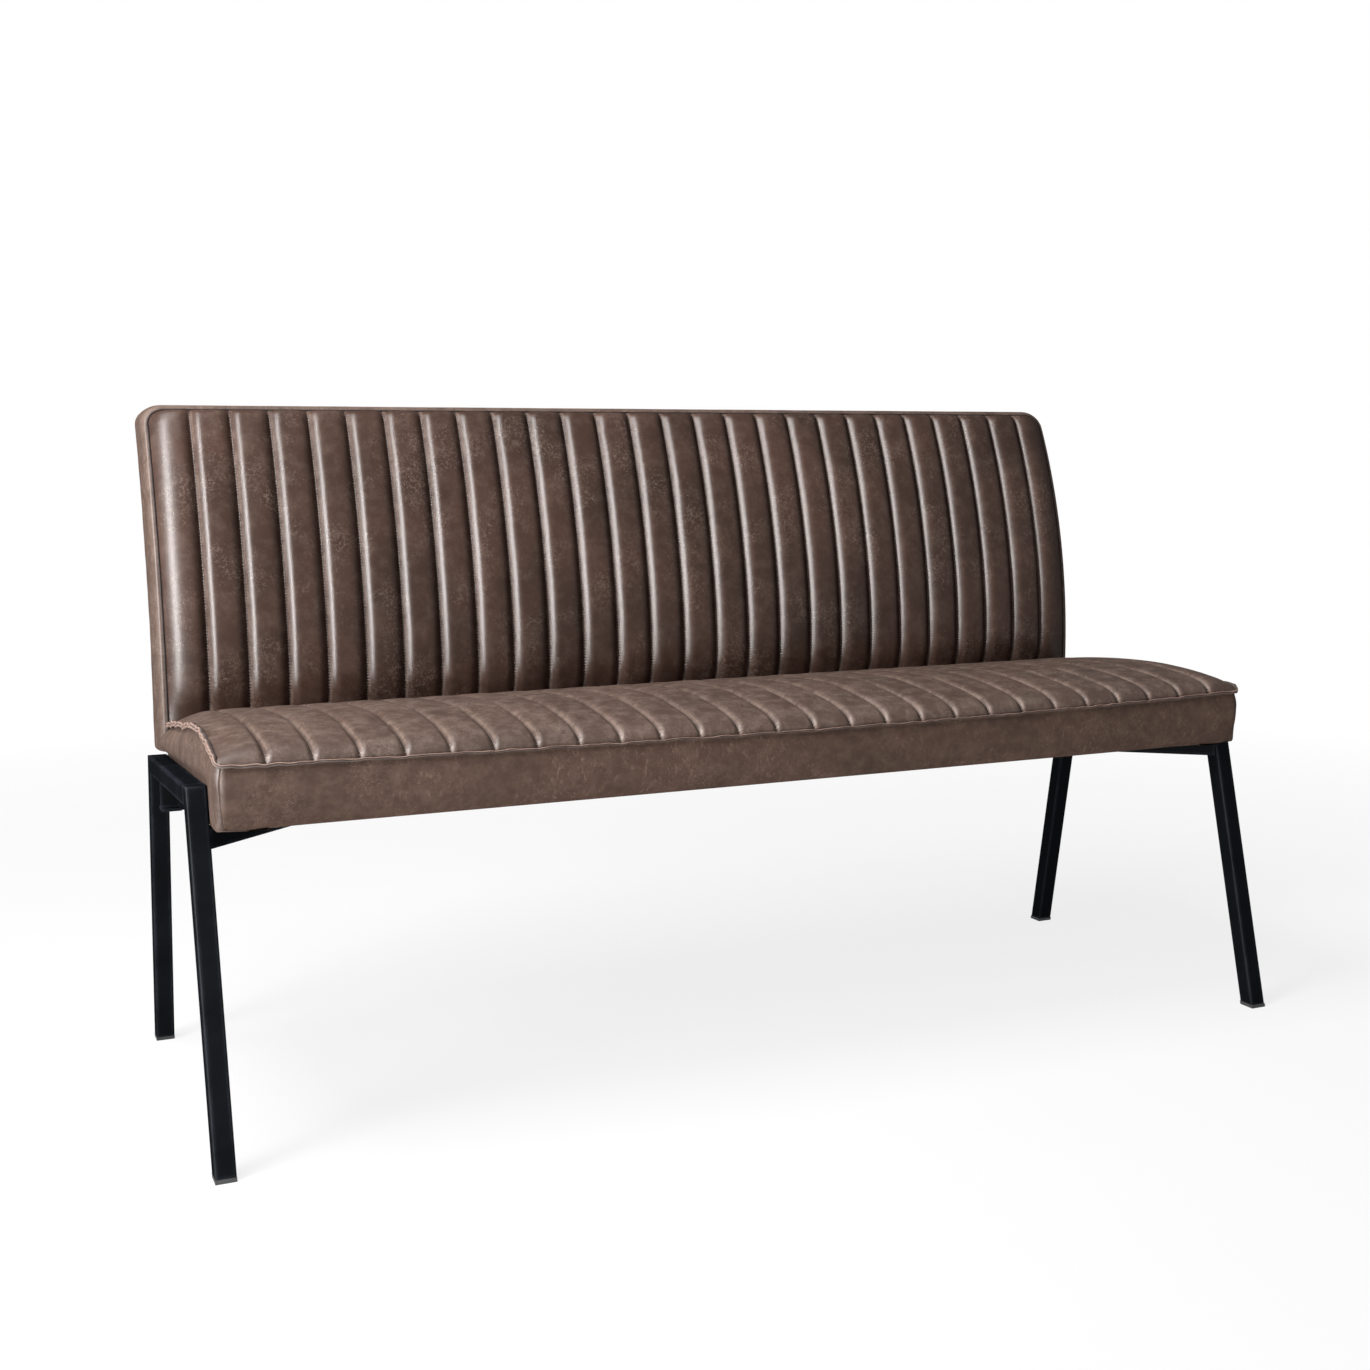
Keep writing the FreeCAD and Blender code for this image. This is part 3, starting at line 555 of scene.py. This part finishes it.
def upholster(pad, free, mat, *nodes):
    """Swell a channelled pad between its seams, keep the seams sharp and dress it."""
    swell(pad, np.concatenate([free.ravel(), np.zeros(free.size, bool)]))
    sewn = np.zeros(free.shape[1], bool)
    sewn[STEPS:-1:STEPS] = True
    crease(pad, sewn)
    smooth(dress(pad, mat, "leather", *nodes, fill=FILL))


def sew(name, profile, place, low, high):
    """Stitches down each sewn line of a panel."""
    inset = 0.0004
    run = np.arange(low, high, STITCH)
    seams = np.arange(1, CHANNELS) * PITCH - HALF
    X, R = (a.ravel() for a in np.meshgrid(seams, run))
    centres = place(X, R, inset)
    ahead = place(X, R + 0.001, inset) - centres
    ahead /= np.linalg.norm(ahead, axis=1, keepdims=True)
    _, _, oy, oz = profile.read(R)
    threads = stitches(name, centres, ahead, np.stack([np.zeros_like(oy), oy, oz], -1))
    dress(threads, mat_thread, "leather")


# Seat
SEAT_KEYS = ((0.0525, 0.4760), (0.0550, 0.4812), (0.0610, 0.4862), (0.0735, 0.4908), (0.0950, 0.4948),
             (0.130, 0.4987), (0.175, 0.5013), (0.217, 0.5020), (0.280, 0.5000), (0.340, 0.4958),
             (0.400, 0.4896), (0.445, 0.4834), (0.4785, 0.4775))
SEAT_FRONT, SEAT_REAR = SEAT_KEYS[0][0], SEAT_KEYS[-1][0]
SEAT_SEAM = SEAT_KEYS[0][1]

# Height of the channels above their seams by distance from the front seam
SEAT_RISE = ((0.0, 0.0016), (0.006, 0.0040), (0.018, 0.0062), (0.045, 0.0068), (0.10, 0.0062),
             (0.20, 0.0052), (0.46, 0.0044))
SEAT_TIGHT = 2.0

# Slack of the seat: hang of both ends by setback, how far in it reaches, what each end adds to it, the
# length over which the channels flatten to the ends, and the sag and forward bow of the front
END_DROP = ((0.0525, 0.0), (0.0763, 0.0035), (0.102, 0.0030), (0.1425, 0.0008), (0.20, -0.0008),
            (0.26, 0.0005), (0.358, 0.0035), (0.405, 0.0050), (0.44, 0.0070), (0.4785, 0.0110))
END_ROUND = ((0.0525, 0.020), (0.217, 0.040), (0.4785, 0.062))
LEFT_HANG = ((0.0525, 0.0), (0.102, -0.0008), (0.1425, -0.0026), (0.20, 0.0006), (0.26, 0.0040),
             (0.32, 0.0072), (0.38, 0.0070), (0.44, 0.0045), (0.4785, 0.0010))
RIGHT_HANG = 0.007
END_FLAT = 0.045
FRONT_SAG, FRONT_BOW = 0.009, 0.003

seat_setbacks = SEAT_FRONT + (SEAT_REAR - SEAT_FRONT) * np.linspace(0, 1, 400) ** 2
seat = Profile(seat_setbacks, spline(SEAT_KEYS, seat_setbacks))


def seat_shift(x, setback):
    """How far the seat's surface hangs below its side outline: at the ends and in mid front."""
    inward = np.clip((HALF - np.abs(x)) / spline(END_ROUND, setback), 0, 1)
    along = x / HALF
    sag = FRONT_SAG * (1 - along**2) * (1 + 0.3 * along) * np.clip((0.20 - setback) / 0.15, 0, 1)
    extra = np.where(x > 0, RIGHT_HANG * ease(setback, SEAT_FRONT, 0.11), spline(LEFT_HANG, setback))
    hang = spline(END_DROP, setback) + extra
    return -hang * (1 - inward) ** 2 - sag


def seat_place(x, run, out):
    setback = seat.read(run)[0]
    points = seat.place(x, run, out)
    points[..., 2] += seat_shift(x, setback)
    points[..., 1] -= FRONT_BOW * (1 - (x / HALF) ** 2) * np.clip((0.12 - setback) / 0.07, 0, 1)
    return points


def build_seat_pad():
    u = channel_columns()
    run = seat.end * np.linspace(0, 1, 42) ** 1.25
    U, R = np.meshgrid(u, run)
    X = U * PITCH - HALF
    uneven = 1 + 0.06 * wobble(np.floor(U) * 2.3 + 0.4 * U, R * 9, 1.0)
    flat_end = 0.25 + 0.75 * ease(HALF - np.abs(X), 0.0, END_FLAT)
    top = seat_place(X, R, spline(SEAT_RISE, R) * puff(U, SEAT_TIGHT) * uneven * flat_end)
    gap = seam_gap(U)
    # Painted highlight beside each seam, strongest down the front
    painted_highlight = painted_flank_highlight(U) * (0.5 + 2.0 * (1 - ease(R, 0.05, 0.16)))
    pad = shell("seat_pad", top, seat_place(X, R, -PAD_DEPTH), {"seam": gap, "lip": painted_highlight, "run": R})
    free = (gap > 0.0015) & (R > 0.008) & (R < seat.end - 0.01) & (np.abs(X) < HALF - 0.004)
    upholster(pad, free, mat_seat, "seat_top_panel", "seat_foam")
    sew("seat_stitches", seat, seat_place, 0.006, seat.end - 0.004)


CORNER = 0.010


def seat_path(on_side, on_corner, on_front):
    """Plan line of the seat's edge from the rear left, round the front, to the rear right."""
    turn = np.linspace(0, math.pi / 2, on_corner)[1:-1]
    x = [np.full(on_side, -HALF), -HALF + CORNER * (1 - np.cos(turn))]
    s = [np.linspace(SEAT_REAR, SEAT_FRONT + CORNER, on_side), SEAT_FRONT + CORNER * (1 - np.sin(turn))]
    nx = [np.full(on_side, -1.0), -np.cos(turn)]
    ny = [np.zeros(on_side), -np.sin(turn)]
    front = np.linspace(-HALF + CORNER, HALF - CORNER, on_front)
    flat = np.zeros(on_front)
    return (both_ends(x, front, -1), both_ends(s, flat + SEAT_FRONT, 1),
            both_ends(nx, flat, -1), both_ends(ny, flat - 1, 1))


def seat_edge(on_side, on_corner, on_front):
    """Seam line of the seat's edge: points, outward plan direction and share that faces the front."""
    x, s, nx, ny = seat_path(on_side, on_corner, on_front)
    front = np.clip(-ny, 0, 1)
    z = spline(SEAT_KEYS, s) + seat_shift(x, s)
    z = z * (1 - front) + (SEAT_SEAM + seat_shift(x, np.full_like(x, SEAT_FRONT))) * front
    y = at(s) - FRONT_BOW * (1 - (x / HALF) ** 2) * front
    return np.stack([x, y, z], -1), np.stack([nx, ny, 0 * nx], -1), front


# Outward set of the seat's bands by share of the way down, on the front and at the ends
FRONT_SET = ((0.0, -0.0008), (0.03, -0.0026), (0.10, -0.0010), (0.20, 0.0012), (0.35, 0.0024),
             (0.50, 0.0026), (0.65, 0.0010), (0.78, -0.0025), (0.87, -0.0062), (0.94, -0.0108),
             (0.98, -0.0160), (1.0, -0.0215))
SIDE_SET = ((0.0, -0.0006), (0.03, -0.0018), (0.10, 0.0002), (0.22, 0.0021), (0.40, 0.0032),
            (0.60, 0.0031), (0.80, 0.0032), (0.92, 0.0031), (0.98, 0.0026), (1.0, 0.0010))

# Thickness of the cover where it turns in under the seat, and how far in it reaches
FLAP = 0.0007
TURNED_IN = (-0.034, -0.058)


def over_rail(edge, height):
    """Extra fullness of the end bands where they swell out over the side rails, more so at the rear."""
    y = edge[None, :, 1]
    share = np.clip((y - RAIL_LOW.y) / (RAIL_HIGH.y - RAIL_LOW.y), 0, 1)
    tube = RAIL_HIGH.x - RAIL_LOW.x
    rail_top = RAIL_HIGH.z - (RAIL_HIGH.z - RAIL_LOW.z - tube) * share
    clear = ease(height, rail_top + 0.001, rail_top + 0.013) * ease(edge[None, :, 2] - height, 0.0, 0.022)
    return (0.002 + 0.010 * share) * clear


def build_seat_bands():
    on_side, on_corner, on_front = 44, 9, 240
    edge, out, front = seat_edge(on_side, on_corner, on_front)
    walked = lengths(edge)
    down = np.concatenate([np.linspace(0, 0.12, 6)[:-1], np.linspace(0.12, 0.8, 14)[:-1],
                           np.linspace(0.8, 1, 9)])
    reach = np.stack([spline(SIDE_SET, down), spline(FRONT_SET, down)], -1)
    corner_at = on_side + (on_corner - 3) // 2
    turned = walked[[corner_at, -1 - corner_at]]
    to_corner = np.min(np.abs(walked[None] - turned[:, None]), 0)
    full_corner = 1 - 0.5 * np.exp(-(to_corner / 0.05) ** 2)[None] * ease(down, 0.6, 1.0)[:, None]
    outset = reach[:, :1] * (1 - front) + reach[:, 1:] * full_corner * front
    fade = np.sin(down * math.pi)[:, None]
    ripple = wobble(walked[None, :] * 7, down[:, None] * 4, 4.0)
    outset = outset + fade * ripple * (0.0009 * front + 0.0002)
    outset = outset - fade * 0.0004 * np.exp(-(to_corner / 0.0022) ** 2)
    foot = UNDER_SEAT + FLAP + 0.005 * np.exp(-(to_corner / 0.014) ** 2)
    height = edge[None, :, 2] + (foot - edge[None, :, 2]) * down[:, None]
    outset = outset + over_rail(edge, height) * (1 - front)
    outset = np.concatenate([outset, np.repeat(np.array(TURNED_IN)[:, None], len(edge), 1)])
    height = np.concatenate([height, np.full((len(TURNED_IN), len(edge)), UNDER_SEAT + FLAP)])
    band = edge[None] + out[None] * outset[..., None]
    band[..., 2] = height
    thick = np.where(np.arange(len(band)) < len(down) - 2, COVER, FLAP)[:, None]
    inner = band - out[None] * thick[..., None]
    inner[len(down) - 2:, :, 2] += FLAP
    seam = np.repeat(np.minimum(to_corner + 0.0005, 0.02)[None], len(band), 0)
    lip = np.repeat(np.exp(-(to_corner / 0.003) ** 2)[None], len(band), 0) * 0.4
    cut = (0, corner_at, len(edge) - 1 - corner_at, len(edge) - 1)
    for name, first, last in zip(("left", "front", "right"), cut, cut[1:]):
        part = slice(first, last + 1)
        piece = shell("seat_%s_band" % name, band[:, part], inner[:, part],
                      {"seam": seam[:, part], "lip": lip[:, part]})
        dress(piece, mat_front_warm_lit if name == "front" else mat_bands, "leather", "seat_%s_boxing" % name)


# Two cut layers with a gap between them: outward reach and height, in metres
LIPS = np.array([(-0.0010, 0.0013), (0.0020, 0.0017), (0.0036, 0.0016), (0.0040, 0.0009), (0.0034, 0.0004),
                 (0.0016, 0.0), (0.0034, -0.0004), (0.0040, -0.0009), (0.0036, -0.0016), (0.0020, -0.0017),
                 (-0.0010, -0.0013)])
LIP_MARK = np.array([0, 0, 1, 1, 0.7, 0, 0.7, 1, 1, 0, 0])
# Where the two layers part: painted shade
SHADE_GAP_MARK = np.array([0, 0, 0, 0, 0.5, 1, 0.5, 0, 0, 0, 0])


def build_seat_seam():
    edge, out, front = seat_edge(150, 12, 520)
    walked = lengths(edge)
    still = np.zeros_like(walked)
    loose = np.where(edge[:, 0] > 0, 0.5, 1 - 0.5 * front)
    slow, quick = wobble(walked * 26, still + 1, 5.0), wobble(walked * 80, still, 6.0)
    edge[:, 2] += loose**2 * (0.0024 * slow + 0.0010 * quick)
    edge[:, 2] += 0.0008 * puff((edge[:, 0] + HALF) / PITCH) * front
    curl = 0.15 + 0.4 * wobble(walked * 14, still + 3, 7.0)
    upward = np.array([0.0, 0.0, 1.0])
    outward = out * np.cos(curl)[:, None] + upward * np.sin(curl)[:, None]
    across = upward * np.cos(curl)[:, None] - out * np.sin(curl)[:, None]
    reach = 1.3 - 0.3 * front + 0.2 * wobble(walked * 45, still + 4, 8.0)
    on_front = 0.85 + 0.5 * np.abs(edge[:, 0] / HALF) ** 3
    open_wide = (0.2 + 1.6 * loose) * (1 - front) + on_front * front
    open_wide = open_wide + 0.15 * wobble(walked * 20, still + 2, 15.0)
    lower = np.arange(len(LIPS)) > len(LIPS) // 2
    # On the front the lower layer takes the dark face leather colour, which also paints the shade line
    # under the welt
    lip = LIP_MARK[None] * (1 - 0.8 * front[:, None] * lower[None])
    marks = {"lip": lip.ravel(), "gap": np.tile(SHADE_GAP_MARK, len(edge))}
    seam = sweep("seat_seam", edge, outward * reach[:, None], across * open_wide[:, None], LIPS, marks)
    dress(seam, mat_edge, "leather_edge", "seat_seam_edge")


def build_seat_rear():
    X, T = np.meshgrid(np.linspace(-HALF + COVER, HALF - COVER, 60), np.linspace(0, 1, 12))
    top = SEAT_KEYS[-1][1] - 0.016
    z = UNDER_SEAT + 0.5 * COVER + (top - UNDER_SEAT - 0.5 * COVER) * T
    y = at(SEAT_REAR - 0.6 * COVER + 0.0006 * np.sin(T * math.pi) + 0.0001 * wobble(X * 7, T * 3, 3.0))
    flat = {"seam": np.full(X.shape, 0.02), "lip": np.zeros(X.shape)}
    rear = shell("seat_rear_band", np.stack([X, y, z], -1), np.stack([X, y - COVER, z], -1), flat)
    dress(rear, mat_bands, "leather", "seat_rear_boxing")


def build_dust_sheet():
    low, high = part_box("seat_dust_cover")
    X, Y = np.meshgrid(np.linspace(low.x, high.x, 150), np.linspace(low.y, high.y, 40))
    staple = 0.045
    from_edge = np.minimum(Y - low.y, high.y - Y)
    pucker = 0.0001 * (1 + np.sin(X * 2 * math.pi / staple)) * np.exp(-from_edge / 0.012)
    z = UNDER_SEAT + 0.00005 + pucker
    sheet = shell("seat_dust_sheet", np.stack([X, Y, z], -1), np.stack([X, Y, z + 0.0004], -1))
    dress(sheet, mat_lining, "dust_cloth", "seat_dust_cover")


# Back: upright at the seat, then an arc leaning rearwards
BACK_FRONT, BACK_LEAN = 0.487, 0.091
BACK_BEND, BACK_TOP, BACK_SEAM = 0.500, 0.896, 0.8975
CLIMB = BACK_TOP - BACK_BEND
RADIUS = (BACK_LEAN**2 + CLIMB**2) / (2 * BACK_LEAN)
TOP_ANGLE = math.asin((BACK_SEAM - BACK_BEND) / RADIUS)
THICK = 0.0815
REAR_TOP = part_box("back_rear_panel")[1]
BACK_CORNER, REAR_CORNER = 0.024, 0.003
BACK_CROWN = 0.010
BACK_ROUND = 0.055

turns = np.linspace(0, TOP_ANGLE, 200)
back = Profile(np.concatenate([[BACK_FRONT], BACK_FRONT + RADIUS * (1 - np.cos(turns))]),
               np.concatenate([[BACK_FOOT], BACK_BEND + RADIUS * np.sin(turns)]))
BACK_RISE = ((0.0, 0.0072), (0.045, 0.0076), (0.10, 0.0102), (0.6 * back.end, 0.0104),
             (0.90 * back.end, 0.0100), (0.965 * back.end, 0.0092), (0.988 * back.end, 0.0066),
             (back.end, 0.0008))
BACK_SOFT_ENDS = 2 * SHOULDER
TOP_DEPTH = np.array([0.0, REAR_TOP.y - at(back.setback[-1]), REAR_TOP.z - back.height[-1]])


def half_width(run, corner=BACK_CORNER):
    """Half length of the back at a distance up it: the top corners are round."""
    down = np.clip((back.end - run) / corner, 0, 1)
    return HALF - corner + corner * np.sqrt(1 - (1 - down) ** 2)


def draw_in(x, run, corner=BACK_CORNER):
    """Pull the end columns in to the round corners."""
    start = HALF - 2.6 * BACK_CORNER
    share = np.clip((np.abs(x) - start) / (HALF - start), 0, 1)
    return np.where(np.abs(x) > start, np.sign(x) * (start + share * (half_width(run, corner) - start)), x)


def back_crown(x, run):
    """Fullness of the back inside its border seam."""
    side = np.maximum(half_width(run) - np.abs(x), 1e-6)
    top = np.maximum(3.4 * (back.end - run), 1e-6)
    near = (side**-3 + top**-3) ** (-1 / 3)
    above_seat = ease(run, 0.047, 0.085)
    return above_seat * BACK_CROWN * (1 - (1 - np.minimum(near / BACK_ROUND, 1)) ** 2)


def back_place(x, run, out):
    return back.place(x, run, out + back_crown(x, run))


def build_back_pad():
    u = channel_columns()
    run = back.end * np.concatenate([np.linspace(0, 0.90, 30)[:-1], np.linspace(0.90, 1.0, 13)])
    U, R = np.meshgrid(u, run)
    X = draw_in(U * PITCH - HALF, R)
    uneven = 1 + 0.05 * wobble(np.floor(U) * 1.9 + 0.4 * U, R * 8, 3.0)
    front = back_place(X, R, spline(BACK_RISE, R) * puff(U, 1.0, BACK_SOFT_ENDS) * uneven)
    gap = seam_gap(U)
    border = np.minimum(half_width(R) - np.abs(X), back.end - R) + 0.0012
    # The lip mark on the back pad is a painted highlight on each channel's left flank
    marks = {"seam": np.minimum(gap, border), "lip": 1.6 * painted_flank_highlight(U), "run": R}
    pad = shell("back_pad", front, back.place(X, R, -PAD_DEPTH), marks)
    free = (gap > 0.0015) & (R > 0.02) & (border > 0.006)
    upholster(pad, free, mat_back, "back_front_panel", "back_foam")
    sew("back_stitches", back, back_place, 0.01, back.end - 0.006)


def back_edge(on_side, on_corner, on_top, corner=BACK_CORNER):
    """Border seam of the back from bottom left, over the top, to bottom right, with its directions."""
    turn = np.linspace(0, math.pi / 2, on_corner)[1:-1]
    x = [np.full(on_side, -HALF), -HALF + corner * (1 - np.cos(turn))]
    r = [np.linspace(0, back.end - corner, on_side), back.end - corner * (1 - np.sin(turn))]
    ax = [np.full(on_side, -1.0), -np.cos(turn)]
    ar = [np.zeros(on_side), np.sin(turn)]
    top = np.linspace(-HALF + corner, HALF - corner, on_top)
    flat = np.zeros(on_top)
    x, r = both_ends(x, top, -1), both_ends(r, flat + back.end, 1)
    ax, ar = both_ends(ax, flat, -1), both_ends(ar, flat + 1, 1)
    _, _, oy, oz = back.read(r)
    outward = np.stack([ax, ar * oz, -ar * oy], -1)
    rearward = np.stack([0 * x, -oy, -oz], -1) * THICK
    upper = ((r / back.end) ** 3)[:, None]
    return back.place(x, r, 0), outward, rearward * (1 - upper) + TOP_DEPTH * upper, ar


# Across the back's border band: share of its depth, then share of its fullness
BAND_ACROSS = np.array([0.0, -0.010, -0.015, -0.006, 0.03, 0.09, 0.18, 0.30, 0.44, 0.58, 0.71, 0.82,
                        0.91, 0.97, 1.0])
BAND_FULL = np.array([0.0, 0.10, 0.26, 0.44, 0.60, 0.75, 0.88, 0.97, 1.0, 0.98, 0.90, 0.76, 0.55, 0.28,
                      0.0])


def build_back_band():
    edge, outward, rearward, upper = back_edge(60, 12, 220)
    walked = lengths(edge)
    lower = np.clip((REAR_TOP.z - edge[:, 2]) / (REAR_TOP.z - BACK_FOOT), 0, 1)
    full = (0.0115 + 0.003 * lower) * (1 - upper) + 0.0125 * upper
    uneven = 0.0007 * wobble(walked[None] * 9, BAND_ACROSS[:, None] * 5, 11.0)
    uneven = uneven * np.sin(np.clip(BAND_ACROSS, 0, 1) * math.pi)[:, None]
    crest = BAND_FULL[:, None] * full[None] + uneven
    square = back_edge(60, 12, 220, REAR_CORNER)[0]
    behind = BAND_ACROSS[:, None, None]
    line = edge[None] + (square - edge)[None] * np.clip(behind, 0, 1) + rearward[None] * behind
    depth = np.minimum(np.abs(BAND_ACROSS), 1 - BAND_ACROSS) * THICK
    seam = np.repeat((depth + np.linspace(0, 0.002, len(depth)))[:, None], len(edge), 1)
    lip = np.repeat(np.exp(-((BAND_ACROSS - 0.02) / 0.06) ** 2)[:, None], len(edge), 1)
    band = shell("back_border_band", line + outward[None] * crest[..., None],
                 line + outward[None] * (crest - COVER)[..., None], {"seam": seam, "lip": lip})
    smooth(dress(band, mat_bands, "leather", "back_top_boxing", "back_left_boxing", "back_right_boxing"))


FOLD = np.array([(-0.0008, 0.0016), (0.0010, 0.0018), (0.0018, 0.0011), (0.0020, 0.0), (0.0018, -0.0011),
                 (0.0010, -0.0018), (-0.0008, -0.0016)])


def build_back_seam():
    edge, outward, rearward, _ = back_edge(140, 18, 420)
    walked = lengths(edge)
    still = np.zeros_like(walked)
    forward = -rearward / np.linalg.norm(rearward, axis=1, keepdims=True)
    sway = 0.0003 * wobble(walked * 40, still + 2, 13.0)
    centre = edge + outward * (sway + 0.0003)[:, None] - forward * 0.0006
    # The fold is coloured near black: painted shade in the groove round the back
    dress(sweep("back_seam", centre, forward, outward, FOLD), mat_shade_fold, "leather_edge", "back_seam_edge")


def build_back_rear():
    X, T = np.meshgrid(np.linspace(-HALF, HALF, 120), np.linspace(0, 1, 50))
    run = back.end * T
    X = draw_in(X, run, REAR_CORNER)
    s, z, oy, oz = back.read(run)
    top = T**3
    depth_y = -oy * THICK * (1 - top) + TOP_DEPTH[1] * top
    depth_z = -oz * THICK * (1 - top) + TOP_DEPTH[2] * top
    border = np.minimum(half_width(run, REAR_CORNER) - np.abs(X), np.minimum(T, 1 - T) * back.end)
    full = 0.0012 * np.clip(border / 0.03, 0, 1) * (1 + 0.5 * wobble(X * 5, T * 6, 14.0))
    rear = np.stack([X, at(s + depth_y - oy * full), z + depth_z - oz * full], -1)
    inner = np.stack([X, at(s + depth_y + oy * COVER), z + depth_z + oz * COVER], -1)
    flat = {"seam": border + 0.002, "lip": np.zeros(X.shape)}
    smooth(dress(shell("back_rear_cover", rear, inner, flat), mat_bands, "leather", "back_rear_panel"))


def build_back_bottom():
    low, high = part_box("back_bottom_boxing")
    X, Y = np.meshgrid(np.linspace(low.x, high.x, 90), np.linspace(low.y, high.y, 10))
    into_band = 0.013 * np.interp((Y - low.y) / (high.y - low.y), BAND_ACROSS[3:], BAND_FULL[3:])
    X = X * (1 + into_band / high.x)
    from_edge = np.minimum(Y - low.y, high.y - Y)
    pucker = 0.0003 * (1 + np.sin(X * 2 * math.pi / 0.05)) * np.exp(-from_edge / 0.01)
    z = low.z + 0.0002 + pucker
    flat = {"seam": np.full(X.shape, 0.02), "lip": np.zeros(X.shape)}
    bottom = shell("back_bottom_cover", np.stack([X, Y, z], -1), np.stack([X, Y, z + 0.0008], -1), flat)
    dress(bottom, mat_bands, "leather", "back_bottom_boxing")


build_seat_pad()
build_seat_bands()
build_seat_seam()
build_seat_rear()
build_dust_sheet()
build_back_pad()
build_back_band()
build_back_seam()
build_back_rear()
build_back_bottom()


# Stage, light and camera
FLOOR_REACH = 30
FADE_FROM, FADE_TO = 1.0, 3.2
WINDOW = (1.0, 0.98, 0.97)
EYE = Vector((-1.0343, -2.2604, 0.8238))
YAW, PITCH_DOWN, ROLL = (math.radians(angle) for angle in (-23.8307, 7.5024, -0.2862))
LENS, SENSOR = 44.853, 36


def seen_directly(n):
    """One for the camera and for mirror and glass rays, zero for rays that carry light."""
    path = n.tree.nodes.new("ShaderNodeLightPath")
    seen = n.math("MAXIMUM", path.outputs["Is Camera Ray"], path.outputs["Is Glossy Ray"])
    return n.math("MAXIMUM", seen, path.outputs["Is Transmission Ray"])


def build_floor():
    """Pale floor that fades to white far away, with the object's shadow on it."""
    mesh = bpy.data.meshes.new("floor")
    corners = [(x * FLOOR_REACH, y * FLOOR_REACH, 0) for x, y in ((-1, -1), (1, -1), (1, 1), (-1, 1))]
    mesh.from_pydata(corners, [], [(0, 1, 2, 3)])
    floor = bpy.data.objects.new("floor", mesh)
    scene.collection.objects.link(floor)
    mat = bpy.data.materials.new("studio_floor")
    mat.use_nodes = True
    tree = mat.node_tree
    tree.nodes.clear()
    n = Nodes(tree)
    place = n.place()
    paper = n.mix(n.noise(place, 3.0, 2.0), (0.86, 0.86, 0.86, 1), (0.9, 0.9, 0.9, 1))
    matt = n.make("BsdfDiffuse", Color=paper)
    white = n.make("Emission", Color=(1, 1, 1, 1), Strength=1.0)
    far = n.tree.nodes.new("ShaderNodeVectorMath")
    far.operation = "LENGTH"
    n.put(far.inputs[0], place)
    fade = n.span(far.outputs["Value"], FADE_FROM, FADE_TO, 0.82, 1.0)
    mixed = tree.nodes.new("ShaderNodeMixShader")
    n.put(mixed.inputs[0], n.math("MULTIPLY", seen_directly(n), fade))
    n.put(mixed.inputs[1], matt)
    n.put(mixed.inputs[2], white)
    tree.links.new(mixed.outputs[0], tree.nodes.new("ShaderNodeOutputMaterial").inputs[0])
    mesh.materials.append(mat)


def build_world():
    """Dim even light, with a white backdrop for the camera and for reflections."""
    world = bpy.data.worlds.new("studio")
    scene.world = world
    world.use_nodes = True
    tree = world.node_tree
    tree.nodes.clear()
    n = Nodes(tree)
    mixed = tree.nodes.new("ShaderNodeMixShader")
    n.put(mixed.inputs[0], seen_directly(n))
    n.put(mixed.inputs[1], n.make("Background", Color=(0.95, 0.97, 1.0, 1), Strength=0.10))
    n.put(mixed.inputs[2], n.make("Background", Color=(1, 1, 1, 1), Strength=1.0))
    tree.links.new(mixed.outputs[0], tree.nodes.new("ShaderNodeOutputWorld").inputs[0])


def lamp(name, place, aim, wide, high, watts, tint=(1, 1, 1)):
    data = bpy.data.lights.new(name, "AREA")
    data.shape = "RECTANGLE"
    data.size = wide
    data.size_y = high
    data.energy = watts
    data.color = tint
    obj = bpy.data.objects.new(name, data)
    obj.location = place
    obj.rotation_euler = (Vector(aim) - Vector(place)).to_track_quat("-Z", "Y").to_euler()
    scene.collection.objects.link(obj)
    return obj


def build_camera():
    """Camera at the photograph's viewpoint, found by fitting the bench's edges."""
    level = math.cos(PITCH_DOWN)
    ahead = Vector((-math.sin(YAW) * level, math.cos(YAW) * level, -math.sin(PITCH_DOWN)))
    right = Vector((math.cos(YAW), math.sin(YAW), 0))
    up = right.cross(ahead)
    rolled_right = right * math.cos(ROLL) + up * math.sin(ROLL)
    rolled_up = up * math.cos(ROLL) - right * math.sin(ROLL)
    data = bpy.data.cameras.new("camera")
    data.lens = LENS
    data.sensor_width = SENSOR
    data.sensor_fit = "HORIZONTAL"
    camera = bpy.data.objects.new("camera", data)
    axes = Matrix((rolled_right, rolled_up, -ahead)).transposed().to_4x4()
    camera.matrix_world = Matrix.Translation(EYE) @ axes
    scene.collection.objects.link(camera)
    scene.camera = camera


build_floor()
build_world()
lamp("window_left", (-2.75, -1.20, 1.35), aim=(0.0, 0.05, 0.65), wide=0.9, high=2.0, watts=85, tint=WINDOW)
# A tall narrow window that only reflections see: it draws the bright line down each channel
sheen = lamp("window_sheen", (-2.65, -1.40, 2.2), aim=(0.0, 0.05, 2.2), wide=0.4, high=4.0, watts=700,
             tint=WINDOW)
sheen.visible_diffuse = False
lamp("overhead", (-1.3, -0.2, 2.8), aim=(0.0, -0.1, 0.5), wide=1.4, high=1.2, watts=78)
lamp("front_fill", (-1.8, -3.2, 0.7), aim=(-0.2, 0.0, 0.45), wide=1.6, high=1.2, watts=14)
build_camera()
scene.view_settings.view_transform = "Standard"
